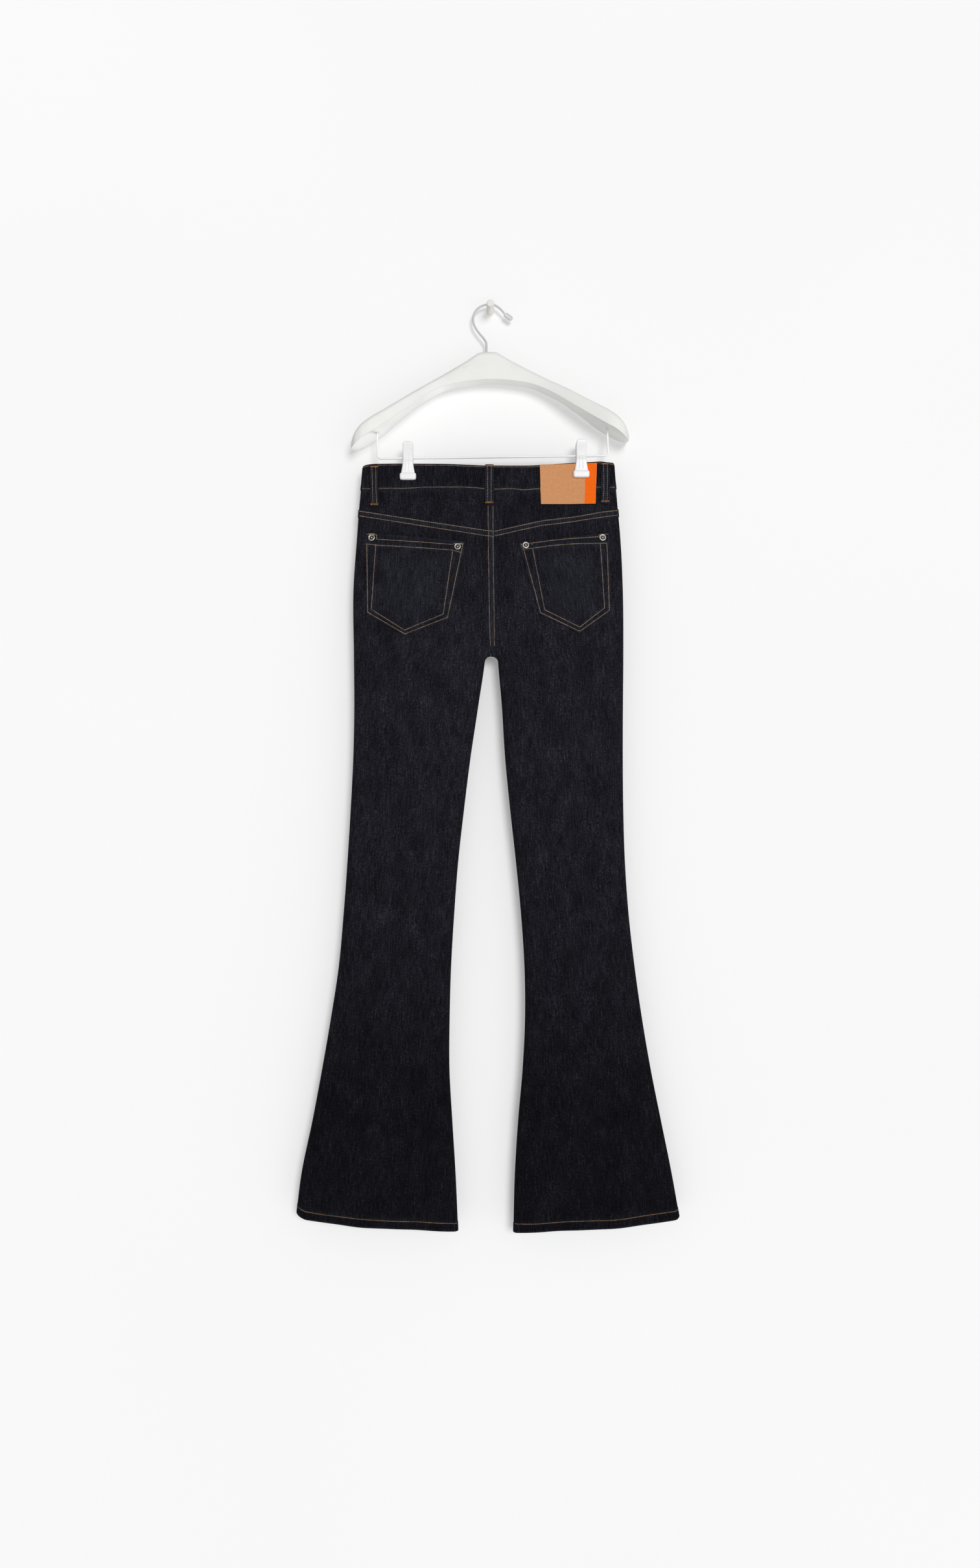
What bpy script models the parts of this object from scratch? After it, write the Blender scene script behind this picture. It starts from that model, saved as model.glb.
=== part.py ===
"""Flared five-pocket jeans on a clip hanger that hangs from a wall peg.

Metres, +Z up. The wall is the plane y = 0 and the room lies towards -y, so the back of the
jeans faces -y. The origin is the middle of the peg's end on the wall. The cloth is worked out
in millimetres: x to the right, and "drop" down from the middle of the waistband's top edge.
"""

import math
from collections import namedtuple

import bmesh
import bpy
import numpy as np
from mathutils import Vector

MM = 0.001
LEFT, RIGHT = -1, 1
BACK, FRONT = -1, 1
LEG_NAMES = {LEFT: "left", RIGHT: "right"}

# Cloth, in millimetres.
SEAM_GAP = 0.3
CLOTH_WALL = 1.2
BAND_WALL = 2.4
BAND_PROUD = 0.6
HEM_WALL = 2.4
HEM_PROUD = 0.4
HEM_FOLD = 11.0
HEM_STEP = 0.8
PATCH_WALL = 1.2
LOOP_WALL = 1.4

# Where the garment hangs.
WAIST_BELOW_PEG = 239.0
MIDDLE_Y = -30.0
CENTRE_X = 0.8

# Driving lengths down the garment, as drops.
CROTCH = 276.5
CROTCH_ROUND = 14.0
ARCH_HEIGHT = 8.0
CROTCH_ANGLES = (60.0, 30.0, 0.0)
CROTCH_OUTER = (-26.0, 20.0)
SEAT_FOOT = 36.0
SEAT_EASE = 110.0
WAIST_EASE = 110.0
BULGE_POWER = 0.75
CENTRE_TOP = -2.0
CENTRE_BAND = 35.5
CENTRE_YOKE = 99.8

# How the waistband is held by the two clips.
PINCH = 3.2
CLIP_X = {LEFT: -120.5, RIGHT: 133.0}
JAW_CLEAR = 13.0
WAIST_OPEN = 9.0
FRONT_FULLNESS = 0.8

# One row for each level: the four edges of the two legs, the half depth of the cloth tube
# and the radius that its sides fold round with.
Section = namedtuple("Section", "drop left_out left_in right_in right_out depth side_radius")
SECTIONS = (
    Section(-12, -186.2, -6.0, 9.5, 181.0, 19.0, 3.2),
    Section(26, -189.2, -6.0, 9.5, 183.8, 19.0, 3.2),
    Section(64, -192.6, -6.0, 9.5, 187.2, 20.0, 5.0),
    Section(102, -195.4, -6.2, 9.8, 190.5, 21.0, 6.5),
    Section(178, -200.6, -6.6, 10.2, 194.2, 22.0, 7.0),
    Section(273, -200.0, -7.0, 10.6, 195.0, 20.5, 7.0),
    Section(349, -199.4, -17.6, 16.8, 194.4, 18.5, 7.0),
    Section(425, -200.9, -29.0, 21.6, 194.2, 17.0, 6.5),
    Section(501, -204.7, -38.5, 29.0, 194.9, 15.5, 6.5),
    Section(577, -209.4, -47.0, 37.4, 197.3, 14.5, 6.0),
    Section(653, -215.0, -52.8, 44.8, 202.6, 14.0, 6.0),
    Section(729, -221.9, -57.3, 49.8, 211.2, 14.0, 6.0),
    Section(805, -233.4, -59.5, 50.8, 222.0, 15.0, 6.0),
    Section(881, -246.5, -59.8, 47.2, 235.0, 16.5, 6.0),
    Section(957, -260.8, -55.6, 40.6, 250.2, 18.0, 6.0),
    Section(1033, -276.6, -50.9, 35.9, 265.6, 19.5, 6.0),
    Section(1120, -287.0, -47.0, 33.6, 281.0, 20.5, 6.0),
)
DROPS = np.array([row.drop for row in SECTIONS], dtype=float)

# The lines that cross each leg, as drops at its outer edge, and at its inner edge for the hem.
LegLines = namedtuple("LegLines", "top band yoke hem_out hem_in corner_lift corner_run")
LINES = {
    LEFT: LegLines(-1.8, 33.0, 67.8, 1099.9, 1116.6, 9.5, 20.0),
    RIGHT: LegLines(-7.8, 31.0, 64.2, 1100.7, 1118.3, 3.0, 8.0),
}

# Long soft flutes in the flare and creases in the thigh: where each starts and ends.
Fold = namedtuple("Fold", "leg face top top_x end end_x width height")
FOLDS = (
    Fold(LEFT, BACK, 760, -152, 1120, -190, 27, 4.6),
    Fold(LEFT, BACK, 820, -108, 1120, -108, 25, -3.4),
    Fold(RIGHT, BACK, 740, 150, 1120, 186, 28, 4.8),
    Fold(RIGHT, BACK, 830, 104, 1120, 100, 25, -3.6),
    Fold(LEFT, FRONT, 800, -130, 1120, -146, 28, 4.2),
    Fold(LEFT, FRONT, 840, -178, 1120, -220, 25, -3.2),
    Fold(RIGHT, FRONT, 790, 120, 1120, 138, 28, 4.4),
    Fold(RIGHT, FRONT, 850, 172, 1120, 214, 25, -3.2),
)

# Back pockets: corners as x and drop, from the top inner round by the point.
Pocket = namedtuple("Pocket", "outer_top inner_top inner_low point outer_low")
POCKETS = {
    LEFT: Pocket((-181.8, 97.4), (-37.2, 114.6), (-60.6, 223.6), (-123.6, 248.0), (-179.9, 214.8)),
    RIGHT: Pocket((172.4, 97.4), (41.8, 114.6), (71.0, 216.2), (129.3, 244.2), (175.0, 211.2)),
}
POCKET_MOUTH = 1.0
POCKET_RIVETS = {LEFT: ((-172.9, 104.4), (-47.4, 119.0)), RIGHT: ((163.6, 104.4), (51.4, 117.0))}

# Front pockets, fly and waist button.
SCOOP_REACH = 92.0
SCOOP_DEPTH = 66.0
FACING_UNDER = 13.0
FACING_GAP = 0.6
FACING_SHORT = 1.0
FACING_ANGLES = (0.0, 20.0, 40.0, 56.0, 70.0, 78.0, 84.0)
SCOOP_ANGLES = (0.0, 24.0, 45.0, 66.0, 82.0, 90.0)
FLY_OUTER = -37.0
FLY_INNER = 3.0
FLY_LENGTH = 138.0
FLY_CORNER = 42.0
FLY_SQUARE = 0.98
FLY_LIFT = 0.4
LAP_OVER = 20.0
LAP_UNDER = 23.0
LAP_RAMP = 15.0
LAP_SETTLE = 2.0

# Patch corners as x and drop.
PATCH = ((72.4, -2.9), (155.6, -6.4), (153.6, 53.2), (74.0, 54.6))

Loop = namedtuple("Loop", "name x face top bottom")
LOOPS = (
    Loop("belt_loop_back_left", -169.6, BACK, -2.4, 56.7),
    Loop("belt_loop_back_centre", -1.4, BACK, -1.6, 56.2),
    Loop("belt_loop_back_right", 168.3, BACK, -6.6, 52.2),
    Loop("belt_loop_front_left", -70.0, FRONT, -1.6, 56.0),
    Loop("belt_loop_front_right", 72.0, FRONT, -3.8, 54.0),
)
LOOP_WIDTH = 11.4
LOOP_BULGE = 1.2
LOOP_STEP = 3.0
LOOP_STEP_RUN = 12.0

# Rivets and the waist button: outlines from the top down, and where they stand.
RIVET_PROFILE = ((0, 2.0), (1.6, 1.7), (2.1, 0.9), (4.3, 1.2), (5.2, 0), (0, 0))
RIVET_STEPS = 12
RIVET_INSET = {"top": 7.5, "side": 13.0}
RIVET_BELOW = 8.0
BUTTON_PROFILE = (
    (0, 3.4), (5.6, 3.4), (7.4, 4.2), (8.5, 3.4), (8.3, 2.0), (4.2, 1.6), (3.6, 0), (0, 0),
)
BUTTON_STEPS = 24
BUTTON_DROP = 15.0
SEAT_CLEAR = 0.1

# Hanger: reach is the share of the way from the middle to a tip; heights are below the peg.
Shoulder = namedtuple("Shoulder", "reach top bottom depth")
SHOULDERS = (
    Shoulder(0.00, -66.4, -109.0, 28.0),
    Shoulder(0.07, -68.0, -109.6, 29.0),
    Shoulder(0.15, -77.6, -111.2, 31.5),
    Shoulder(0.25, -90.0, -115.6, 34.5),
    Shoulder(0.35, -101.8, -123.2, 37.5),
    Shoulder(0.45, -112.8, -133.2, 40.5),
    Shoulder(0.55, -123.0, -145.4, 43.5),
    Shoulder(0.65, -134.2, -159.0, 46.5),
    Shoulder(0.75, -145.6, -173.4, 49.0),
    Shoulder(0.85, -158.0, -187.6, 51.0),
    Shoulder(0.93, -171.4, -198.2, 51.0),
    Shoulder(0.98, -185.0, -202.6, 44.0),
    Shoulder(1.00, -194.0, -201.0, 30.0),
)
HANGER_X = -3.8
HANGER_REACH = {LEFT: 200.9, RIGHT: 207.6}
HANGER_BACK_Y = -2.5
HANGER_TILT = 0.0122
HANGER_STATIONS = 12
HANGER_SIDES = 10
HANGER_SQUARENESS = 0.55
HANGER_CROWDING = 0.45

# Wires.
HOOK_RADIUS = 1.4
HOOK_Y = -13.0
HOOK_X = -5.7
HOOK_SOCKET = 10.0
HOOK_ROUTE = (
    (-5.7, -54.0), (-6.1, -50.0), (-9.2, -44.6), (-15.8, -36.6), (-21.6, -28.4), (-24.9, -20.4),
    (-25.2, -12.4), (-22.4, -4.2), (-16.0, 2.2), (-7.8, 6.0), (0.0, 7.1), (7.4, 5.2),
    (14.2, 0.4), (19.9, -5.6),
)
HOOK_TIP = (((22.4, -8.2), 1.5), ((25.4, -10.6), 2.2), ((28.6, -12.8), 2.3), ((31.0, -14.6), 1.5))
BAR_RADIUS = 1.65
BAR_Z = -223.3
BAR_CORNER = 8.0
BAR_SOCKET = 9.0
BAR_HOLE_X = {LEFT: -165.8, RIGHT: 171.5}
BAR_CORNER_X = {LEFT: -162.9, RIGHT: 168.6}
HOLE_CLEAR = 0.35
HOLE_SIDES = 12
HOLE_OVER = 10.0
BEND_ANGLES = (0.0, 22.5, 45.0, 67.5, 90.0)
BAR_SPANS = 7

# Clip halves: drop from the waist, half width, distance off the middle plane, thickness.
Grip = namedtuple("Grip", "drop half_width near thick")
GRIPS = (
    Grip(-38.7, 3.0, 8.2, 2.0),
    Grip(-37.4, 5.2, 8.0, 2.6),
    Grip(-34.0, 6.5, 7.3, 3.0),
    Grip(-26.0, 6.8, 5.3, 3.2),
    Grip(-15.7, 7.0, 2.1, 4.2),
    Grip(-9.0, 7.3, 4.1, 3.4),
    Grip(0.0, 8.6, 4.1, 3.2),
    Grip(7.4, 10.2, 4.1, 3.2),
    Grip(7.8, 11.4, 4.1, 4.6),
    Grip(9.5, 11.9, 4.1, 4.8),
    Grip(15.2, 11.7, 4.1, 4.8),
    Grip(17.0, 10.4, 4.1, 3.6),
)
CLIP_OVER_PATCH = 1.6
CLIP_ACROSS = (-1.0, -0.75, 0.75, 1.0)
CLIP_CROWN = (0.55, 1.0, 1.0, 0.55)
GRIP_STARTS = -15.7
GRIP_OPENS = -9.0

PEG_RADIUS = 5.25
PEG_LENGTH = 38.0
PEG_FLUTES = 12
PEG_FLUTE_DEPTH = 0.3
PEG_CHAMFER = 0.8

# How finely the cloth is divided, as rows down and spans or columns across.
SIDE_ANGLES = (0.0, 30.0, 60.0)
ACROSS = 10
SEAT_ROWS = 6
FRONT_SEAT_ROWS = 5
CROTCH_ROWS = 6
LEG_ROWS = 10
BAND_ROWS = 3
YOKE_ROWS = 5
FACING_COLUMNS = 6
POCKET_SPANS = 5
POCKET_ROWS = 9
FLY_COLUMNS = 7
FLY_ROWS = 9
PATCH_COLUMNS = 7
PATCH_ROWS = 6
LOOP_ROWS = 10
LOOP_COLUMNS = 3
NORMAL_STEP = 0.5
SHARP_ANGLE = 40.0
MERGE = 0.00001


def smoothstep(value):
    """Ease from 0 to 1 as value goes from 0 to 1."""
    share = np.clip(value, 0.0, 1.0)
    return share * share * (3.0 - 2.0 * share)


def follow(places, values, at):
    """Read a smooth curve through (places, values)."""
    slopes = np.gradient(values, places)
    low = np.clip(np.searchsorted(places, at) - 1, 0, len(places) - 2)
    step = places[low + 1] - places[low]
    t = np.clip((at - places[low]) / step, 0.0, 1.0)
    start = (1 + 2 * t) * (1 - t) ** 2 * values[low] + t * (1 - t) ** 2 * step * slopes[low]
    end = t * t * (3 - 2 * t) * values[low + 1] + t * t * (t - 1) * step * slopes[low + 1]
    return start + end


def section(column, drop):
    """One column of the section table at any drop."""
    values = np.array([getattr(row, column) for row in SECTIONS], dtype=float)
    return follow(DROPS, values, drop)


def outer_x(leg, drop):
    """The silhouette at the side of the leg."""
    return section(LEG_NAMES[leg] + "_out", drop)


def inner_x(leg, drop):
    """The centre seam above the crotch, and the inside of the leg below it."""
    centre = CENTRE_X + leg * SEAM_GAP / 2
    below = np.clip((drop - CROTCH) / ARCH_HEIGHT, 0.0, 1.0)
    opened = np.sqrt(1 - (1 - below) ** 2)
    return centre + (section(LEG_NAMES[leg] + "_in", drop) - centre) * opened


def round_side(distance, radius):
    """Height of a quarter round at a distance in from the edge."""
    near = np.minimum(distance, radius)
    return np.sqrt(np.maximum(2 * radius * near - near * near, 0.0))


def waist_room(x):
    """Half depth of the waistband, pinched flat at each clip and open between them."""
    middle = (CLIP_X[LEFT] + CLIP_X[RIGHT]) / 2
    half_span = (CLIP_X[RIGHT] - CLIP_X[LEFT]) / 2 - JAW_CLEAR
    between = np.clip(np.abs(x - middle) / half_span, 0.0, 1.0)
    return PINCH + WAIST_OPEN * np.cos(between * math.pi / 2) ** 2


def fold_relief(x, drop, leg, face):
    """Sum of the folds that cross this point."""
    relief = np.zeros(np.broadcast(x, drop).shape)
    for fold in FOLDS:
        if fold.leg != leg or fold.face != face:
            continue
        along = (drop - fold.top) / (fold.end - fold.top)
        axis = fold.top_x + (fold.end_x - fold.top_x) * along
        relief = relief + fold.height * smoothstep(along) * np.exp(-(((x - axis) / fold.width) ** 2))
    return relief


def half_depth(x, drop, leg, face):
    """Distance of the cloth's outside from the garment's middle plane."""
    outer = outer_x(leg, drop)
    inner = inner_x(leg, drop)
    from_outer = np.abs(x - outer)
    from_inner = np.abs(inner - x)
    share = from_outer / (from_outer + from_inner)
    radius = section("side_radius", drop)
    fullness = 1.0 if face == BACK else FRONT_FULLNESS
    room = (section("depth", drop) - radius) * fullness
    above = np.maximum(CROTCH - drop, 0.0)
    closed = 1 - np.sqrt(1 - (1 - np.minimum(above / CROTCH_ROUND, 1.0)) ** 2)
    leg_share = 1 - smoothstep(above / SEAT_EASE)
    outer_side = round_side(from_outer, radius)
    inner_side = (1 - closed) + closed * round_side(from_inner, radius) / radius
    bulge = (1 - leg_share) * share * (2 - share) + leg_share * 4 * share * (1 - share)
    bulge = np.maximum(bulge, 0.0) ** BULGE_POWER
    relief = fold_relief(x, drop, leg, face) * outer_side * inner_side / radius
    body = outer_side * inner_side + room * bulge + relief
    waist_share = 1 - smoothstep((drop - CENTRE_BAND - 1.0) / WAIST_EASE)
    waist = waist_room(x) * round_side(from_outer, PINCH) / PINCH
    return body + (waist - body) * waist_share


def to_world(x, depth, drop, face):
    """Garment coordinates to world millimetres."""
    x, depth, drop = np.broadcast_arrays(x, depth, drop)
    return np.stack([x, MIDDLE_Y + face * depth, -WAIST_BELOW_PEG - drop], axis=-1)


def surface_normal(x, drop, leg, face):
    """Outward direction of the cloth at a point away from its edges."""
    step = NORMAL_STEP
    across = half_depth(x + step, drop, leg, face) - half_depth(x - step, drop, leg, face)
    along = half_depth(x, drop + step, leg, face) - half_depth(x, drop - step, leg, face)
    out = np.full(np.broadcast(x, drop).shape, 2 * step * face)
    normal = np.stack([-across + 0 * out, out, along + 0 * out], axis=-1)
    return normal / np.linalg.norm(normal, axis=-1, keepdims=True)


def on_cloth(x, drop, face, lift):
    """A point that lies a given height off the cloth, and the cloth's normal there."""
    leg = np.where(np.asarray(x) < CENTRE_X, LEFT, RIGHT)
    point = np.zeros(np.broadcast(x, drop).shape + (3,))
    normal = np.zeros_like(point)
    for side in (LEFT, RIGHT):
        depth = half_depth(x, drop, side, face)
        chosen = (leg == side)[..., None] & np.ones(point.shape, dtype=bool)
        point = np.where(chosen, to_world(x, depth, drop, face), point)
        normal = np.where(chosen, surface_normal(x, drop, side, face), normal)
    return point + normal * np.asarray(lift)[..., None], normal


def grid_normals(points, face):
    """Outward normals of a grid of points."""
    down = np.gradient(points, axis=0)
    across = np.gradient(points, axis=1)
    normal = np.cross(down, across)
    if normal[..., 1].mean() * face < 0:
        normal = -normal
    return normal / np.linalg.norm(normal, axis=-1, keepdims=True)


def lay_flat(normals, rows, column, axes):
    """Turn the normals along a seam into the seam's own plane."""
    for axis in axes:
        normals[rows, column, axis] = 0.0
    length = np.linalg.norm(normals[rows, column], axis=-1, keepdims=True)
    normals[rows, column] /= np.maximum(length, 1e-9)


def spread(width, outer_radius, inner_radius, inner_round):
    """Distances in from the outer edge: close round the folds and even between them."""
    angles = np.radians(SIDE_ANGLES)
    start = outer_radius * (1 - np.cos(angles))
    if not inner_round:
        return np.concatenate([start, np.linspace(outer_radius, width, ACROSS + 1)])
    middle = np.linspace(outer_radius, width - inner_radius, ACROSS + 1)
    end = width - inner_radius * (1 - np.cos(angles[::-1]))
    return np.concatenate([start, middle, end])


def cloth_grid(leg, face, outer_drops, inner_drops, set_in=None, inner_round=True):
    """Outside points of a piece of cloth, row by row from its outer to its inner edge.

    set_in moves the outer edge in from the side on each row.
    """
    rows = []
    set_in = np.zeros(len(outer_drops)) if set_in is None else set_in
    for outer_drop, inner_drop, inset in zip(outer_drops, inner_drops, set_in):
        corner_lift = LINES[leg].corner_lift if outer_drop > LINES[leg].hem_out - HEM_FOLD - 1 else 0.0
        start = outer_x(leg, outer_drop - corner_lift) - leg * inset
        end = inner_x(leg, inner_drop)
        outer_radius = section("side_radius", outer_drop)
        inner_radius = section("side_radius", inner_drop)
        distance = spread(abs(end - start), outer_radius, inner_radius, inner_round)
        share = distance / distance[-1]
        x = start + (end - start) * share
        drop = outer_drop + (inner_drop - outer_drop) * share
        near_corner = np.clip(1 - distance / LINES[leg].corner_run, 0.0, 1.0)
        drop = drop - corner_lift * near_corner ** 2
        depth = np.maximum(half_depth(x, drop, leg, face), SEAM_GAP / 2)
        rows.append(to_world(x, depth, drop, face))
    return np.array(rows)


def make_material(name, colour, roughness, metallic=0.0):
    """A plain Principled BSDF material from an sRGB hex colour."""
    channels = [int(colour[i:i + 2], 16) / 255 for i in (0, 2, 4)]
    linear = [c / 12.92 if c <= 0.04045 else ((c + 0.055) / 1.055) ** 2.4 for c in channels]
    material = bpy.data.materials.new(name)
    material.use_nodes = True
    shader = material.node_tree.nodes["Principled BSDF"]
    shader.inputs["Base Color"].default_value = (*linear, 1.0)
    shader.inputs["Roughness"].default_value = roughness
    shader.inputs["Metallic"].default_value = metallic
    return material


def add_object(name, mesh, material, collection):
    """Link a mesh as a named object with its own material."""
    thing = bpy.data.objects.new(name, mesh)
    mesh.materials.append(material)
    mesh.shade_smooth()
    mesh.set_sharp_from_angle(angle=math.radians(SHARP_ANGLE))
    collection.objects.link(thing)
    return thing


def grid_faces(rows, columns, offset=0, closed=False):
    """Quads of a grid of vertices that starts at an offset."""
    wrap = columns if closed else columns - 1
    faces = []
    for row in range(rows - 1):
        for column in range(wrap):
            here = offset + row * columns + column
            side = offset + row * columns + (column + 1) % columns
            faces.append((here, side, side + columns, here + columns))
    return faces


def close_mesh(name, vertices, faces):
    """Mesh from millimetre vertices, with every face turned outwards."""
    mesh = bpy.data.meshes.new(name)
    mesh.from_pydata([tuple(v * MM for v in vertex) for vertex in vertices], [], faces)
    work = bmesh.new()
    work.from_mesh(mesh)
    bmesh.ops.recalc_face_normals(work, faces=work.faces)
    work.to_mesh(mesh)
    work.free()
    return mesh


def wall_mesh(name, outside, inside):
    """Closed wall between two grids of points of the same size."""
    rows, columns = outside.shape[:2]
    count = rows * columns
    vertices = np.concatenate([outside.reshape(-1, 3), inside.reshape(-1, 3)])
    faces = grid_faces(rows, columns)
    faces += [tuple(reversed([v + count for v in face])) for face in faces]
    rim = list(range(columns))
    rim += [row * columns + columns - 1 for row in range(1, rows)]
    rim += [(rows - 1) * columns + column for column in range(columns - 2, -1, -1)]
    rim += [row * columns for row in range(rows - 2, 0, -1)]
    for here, after in zip(rim, rim[1:] + rim[:1]):
        faces.append((here, here + count, after + count, after))
    return close_mesh(name, vertices, faces)


def add_wall(name, outside, normals, wall, material, collection):
    """Cloth wall from its outside points, thickened inwards."""
    thick = np.broadcast_to(np.asarray(wall, dtype=float), outside.shape[:1])
    inside = outside - normals * thick[:, None, None]
    return add_object(name, wall_mesh(name, outside, inside), material, collection)


def leg_ladder(leg):
    """Outer and inner drops of the rows from just above the crotch to the hem."""
    lines = LINES[leg]
    above = np.radians(CROTCH_ANGLES)
    below = np.pi / 2 - above
    inner = list(CROTCH - CROTCH_ROUND * (1 - np.cos(above)))
    inner += list(CROTCH + ARCH_HEIGHT * (1 - np.cos(below)))
    outer = list(CROTCH + np.linspace(*CROTCH_OUTER, CROTCH_ROWS))
    inner += list(np.linspace(inner[-1], lines.hem_in - HEM_FOLD, LEG_ROWS + 1)[1:])
    outer += list(np.linspace(outer[-1], lines.hem_out - HEM_FOLD, LEG_ROWS + 1)[1:])
    inner += [inner[-1] + HEM_STEP, lines.hem_in]
    outer += [outer[-1] + HEM_STEP, lines.hem_out]
    return outer, inner


def add_panel(name, leg, face, outer_top, inner_top, set_in, material, collection):
    """Back or front panel from its top rows down to the hem."""
    outer_leg, inner_leg = leg_ladder(leg)
    outer_drops = np.array(list(outer_top) + outer_leg)
    inner_drops = np.array(list(inner_top) + inner_leg)
    inset = np.zeros(len(outer_drops))
    inset[:len(set_in)] = set_in
    points = cloth_grid(leg, face, outer_drops, inner_drops, set_in=inset)
    normals = grid_normals(points, face)
    row = np.arange(len(inner_drops))
    lay_flat(normals, row[inset == 0], 0, [1])
    lay_flat(normals, row[inner_drops <= CROTCH], -1, [0])
    lay_flat(normals, row[inner_drops >= CROTCH], -1, [1])
    normals[row[inner_drops == CROTCH], -1] = (0.0, 0.0, -1.0)
    hem = row >= len(row) - 2
    points = points + normals * np.where(hem, HEM_PROUD, 0.0)[:, None, None]
    wall = np.where(hem, HEM_WALL, CLOTH_WALL)
    return add_wall(name, points, normals, wall, material, collection)


def add_back_panel(leg, material, collection):
    """Back of the leg, from the yoke seam to the hem."""
    half_gap = SEAM_GAP / 2
    outer = np.linspace(LINES[leg].yoke + half_gap, CROTCH - SEAT_FOOT, SEAT_ROWS)
    inner = np.linspace(CENTRE_YOKE + half_gap, CROTCH - CROTCH_ROUND, SEAT_ROWS)
    name = "back_panel_" + LEG_NAMES[leg]
    add_panel(name, leg, BACK, outer, inner, [], material, collection)


def scoop_edge(leg):
    """Drops and insets of the front pocket's curved opening, from the waist to the side."""
    angles = np.radians(SCOOP_ANGLES)
    insets = SCOOP_REACH * np.cos(angles)
    insets[-1] = 0.0
    return LINES[leg].band + SEAM_GAP + SCOOP_DEPTH * np.sin(angles), insets


def add_front_panel(leg, material, collection):
    """Front of the leg, scooped out at the top for the pocket."""
    scoop_drops, scoop_insets = scoop_edge(leg)
    below = np.linspace(scoop_drops[-1], CROTCH - SEAT_FOOT, FRONT_SEAT_ROWS)[1:]
    outer = np.concatenate([scoop_drops, below])
    inner = np.linspace(CENTRE_BAND + SEAM_GAP, CROTCH - CROTCH_ROUND, len(outer))
    share = scoop_insets[0] / abs(inner_x(leg, inner[0]) - outer_x(leg, outer[0]))
    outer[0] += (inner[0] - outer[0]) * share
    name = "front_panel_" + LEG_NAMES[leg]
    add_panel(name, leg, FRONT, outer, inner, scoop_insets, material, collection)


def add_facing(leg, material, collection):
    """Pocket facing that shows in the front pocket's opening."""
    top = LINES[leg].band + SEAM_GAP
    rows = []
    for angle in np.radians(FACING_ANGLES):
        level = top + (SCOOP_DEPTH - FACING_SHORT) * math.sin(angle)
        width = (SCOOP_REACH + FACING_UNDER) * math.cos(angle)
        start = outer_x(leg, level)
        radius = section("side_radius", level)
        round_part = radius * (1 - np.cos(np.radians(SIDE_ANGLES)))
        distance = np.concatenate([round_part, np.linspace(radius, width, FACING_COLUMNS)])
        x = start - leg * distance
        drop = level + (CENTRE_BAND - LINES[leg].band) * distance / abs(CENTRE_X - start)
        depth = np.maximum(half_depth(x, drop, leg, FRONT), SEAM_GAP / 2)
        rows.append(to_world(x, depth, drop, FRONT))
    points = np.array(rows)
    normals = grid_normals(points, FRONT)
    lay_flat(normals, np.arange(len(rows)), 0, [1])
    points = points - normals * (CLOTH_WALL + FACING_GAP)
    add_wall("front_pocket_facing_" + LEG_NAMES[leg], points, normals, CLOTH_WALL, material, collection)


def add_yoke(leg, material, collection):
    """Back yoke between the waistband and the slanting yoke seam."""
    lines = LINES[leg]
    outer = np.linspace(lines.band + SEAM_GAP, lines.yoke - SEAM_GAP / 2, YOKE_ROWS)
    inner = np.linspace(CENTRE_BAND + SEAM_GAP, CENTRE_YOKE - SEAM_GAP / 2, YOKE_ROWS)
    points = cloth_grid(leg, BACK, outer, inner, inner_round=False)
    normals = grid_normals(points, BACK)
    every = np.arange(len(outer))
    lay_flat(normals, every, 0, [1])
    lay_flat(normals, every, -1, [0])
    add_wall("yoke_" + LEG_NAMES[leg], points, normals, CLOTH_WALL, material, collection)


def waist_line(x, column):
    """Drop of the waistband's top or lower edge at x."""
    centre = {"top": CENTRE_TOP, "band": CENTRE_BAND}[column]
    places = [outer_x(LEFT, 0.0), CENTRE_X, outer_x(RIGHT, 0.0)]
    drops = [getattr(LINES[LEFT], column), centre, getattr(LINES[RIGHT], column)]
    return np.interp(x, places, drops)


def band_quarter(leg, face, reach):
    """Outside of the waistband from a side to reach, on one face."""
    rows = []
    for level in np.linspace(0.0, 1.0, BAND_ROWS):
        side_drop = LINES[leg].top + (LINES[leg].band - LINES[leg].top) * level
        start = outer_x(leg, side_drop)
        x = start - leg * spread(abs(reach - start), PINCH, 0.0, False)
        top = waist_line(x, "top")
        drop = top + (waist_line(x, "band") - top) * level
        drop[0] = side_drop
        rows.append(to_world(x, half_depth(x, drop, leg, face), drop, face))
    return np.array(rows)


def add_waistband(material, collection):
    """One band all round, its left end lapped over its right end at the front."""
    pieces = [
        band_quarter(LEFT, FRONT, CENTRE_X + LAP_OVER)[:, ::-1],
        band_quarter(LEFT, BACK, CENTRE_X)[:, 1:],
        band_quarter(RIGHT, BACK, CENTRE_X)[:, ::-1][:, 1:],
        band_quarter(RIGHT, FRONT, CENTRE_X - LAP_UNDER)[:, 1:],
    ]
    pieces[0][:, -1, 1] = MIDDLE_Y
    pieces[2][:, -1, 1] = MIDDLE_Y
    points = np.concatenate(pieces, axis=1)
    normals = grid_normals(points, BACK)
    if normals[0, 0, 1] < 0:
        normals = -normals
    lapped = pieces[0].shape[1]
    ramp_end = CENTRE_X - LAP_UNDER - LAP_SETTLE
    lap = smoothstep((points[:, :lapped, 0] - ramp_end + LAP_RAMP) / LAP_RAMP)
    lift = np.full(points.shape[:2], BAND_PROUD)
    lift[:, :lapped] += lap * (BAND_WALL + SEAM_GAP)
    points = points + normals * lift[..., None]
    add_wall("waistband", points, normals, BAND_WALL, material, collection)


def overlay(x, drop, face, lift, wall):
    """Outside and inside points of a piece that lies on the cloth."""
    outside, normals = on_cloth(x, drop, face, np.broadcast_to(lift + wall, np.shape(x)))
    return outside, outside - normals * wall


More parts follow.
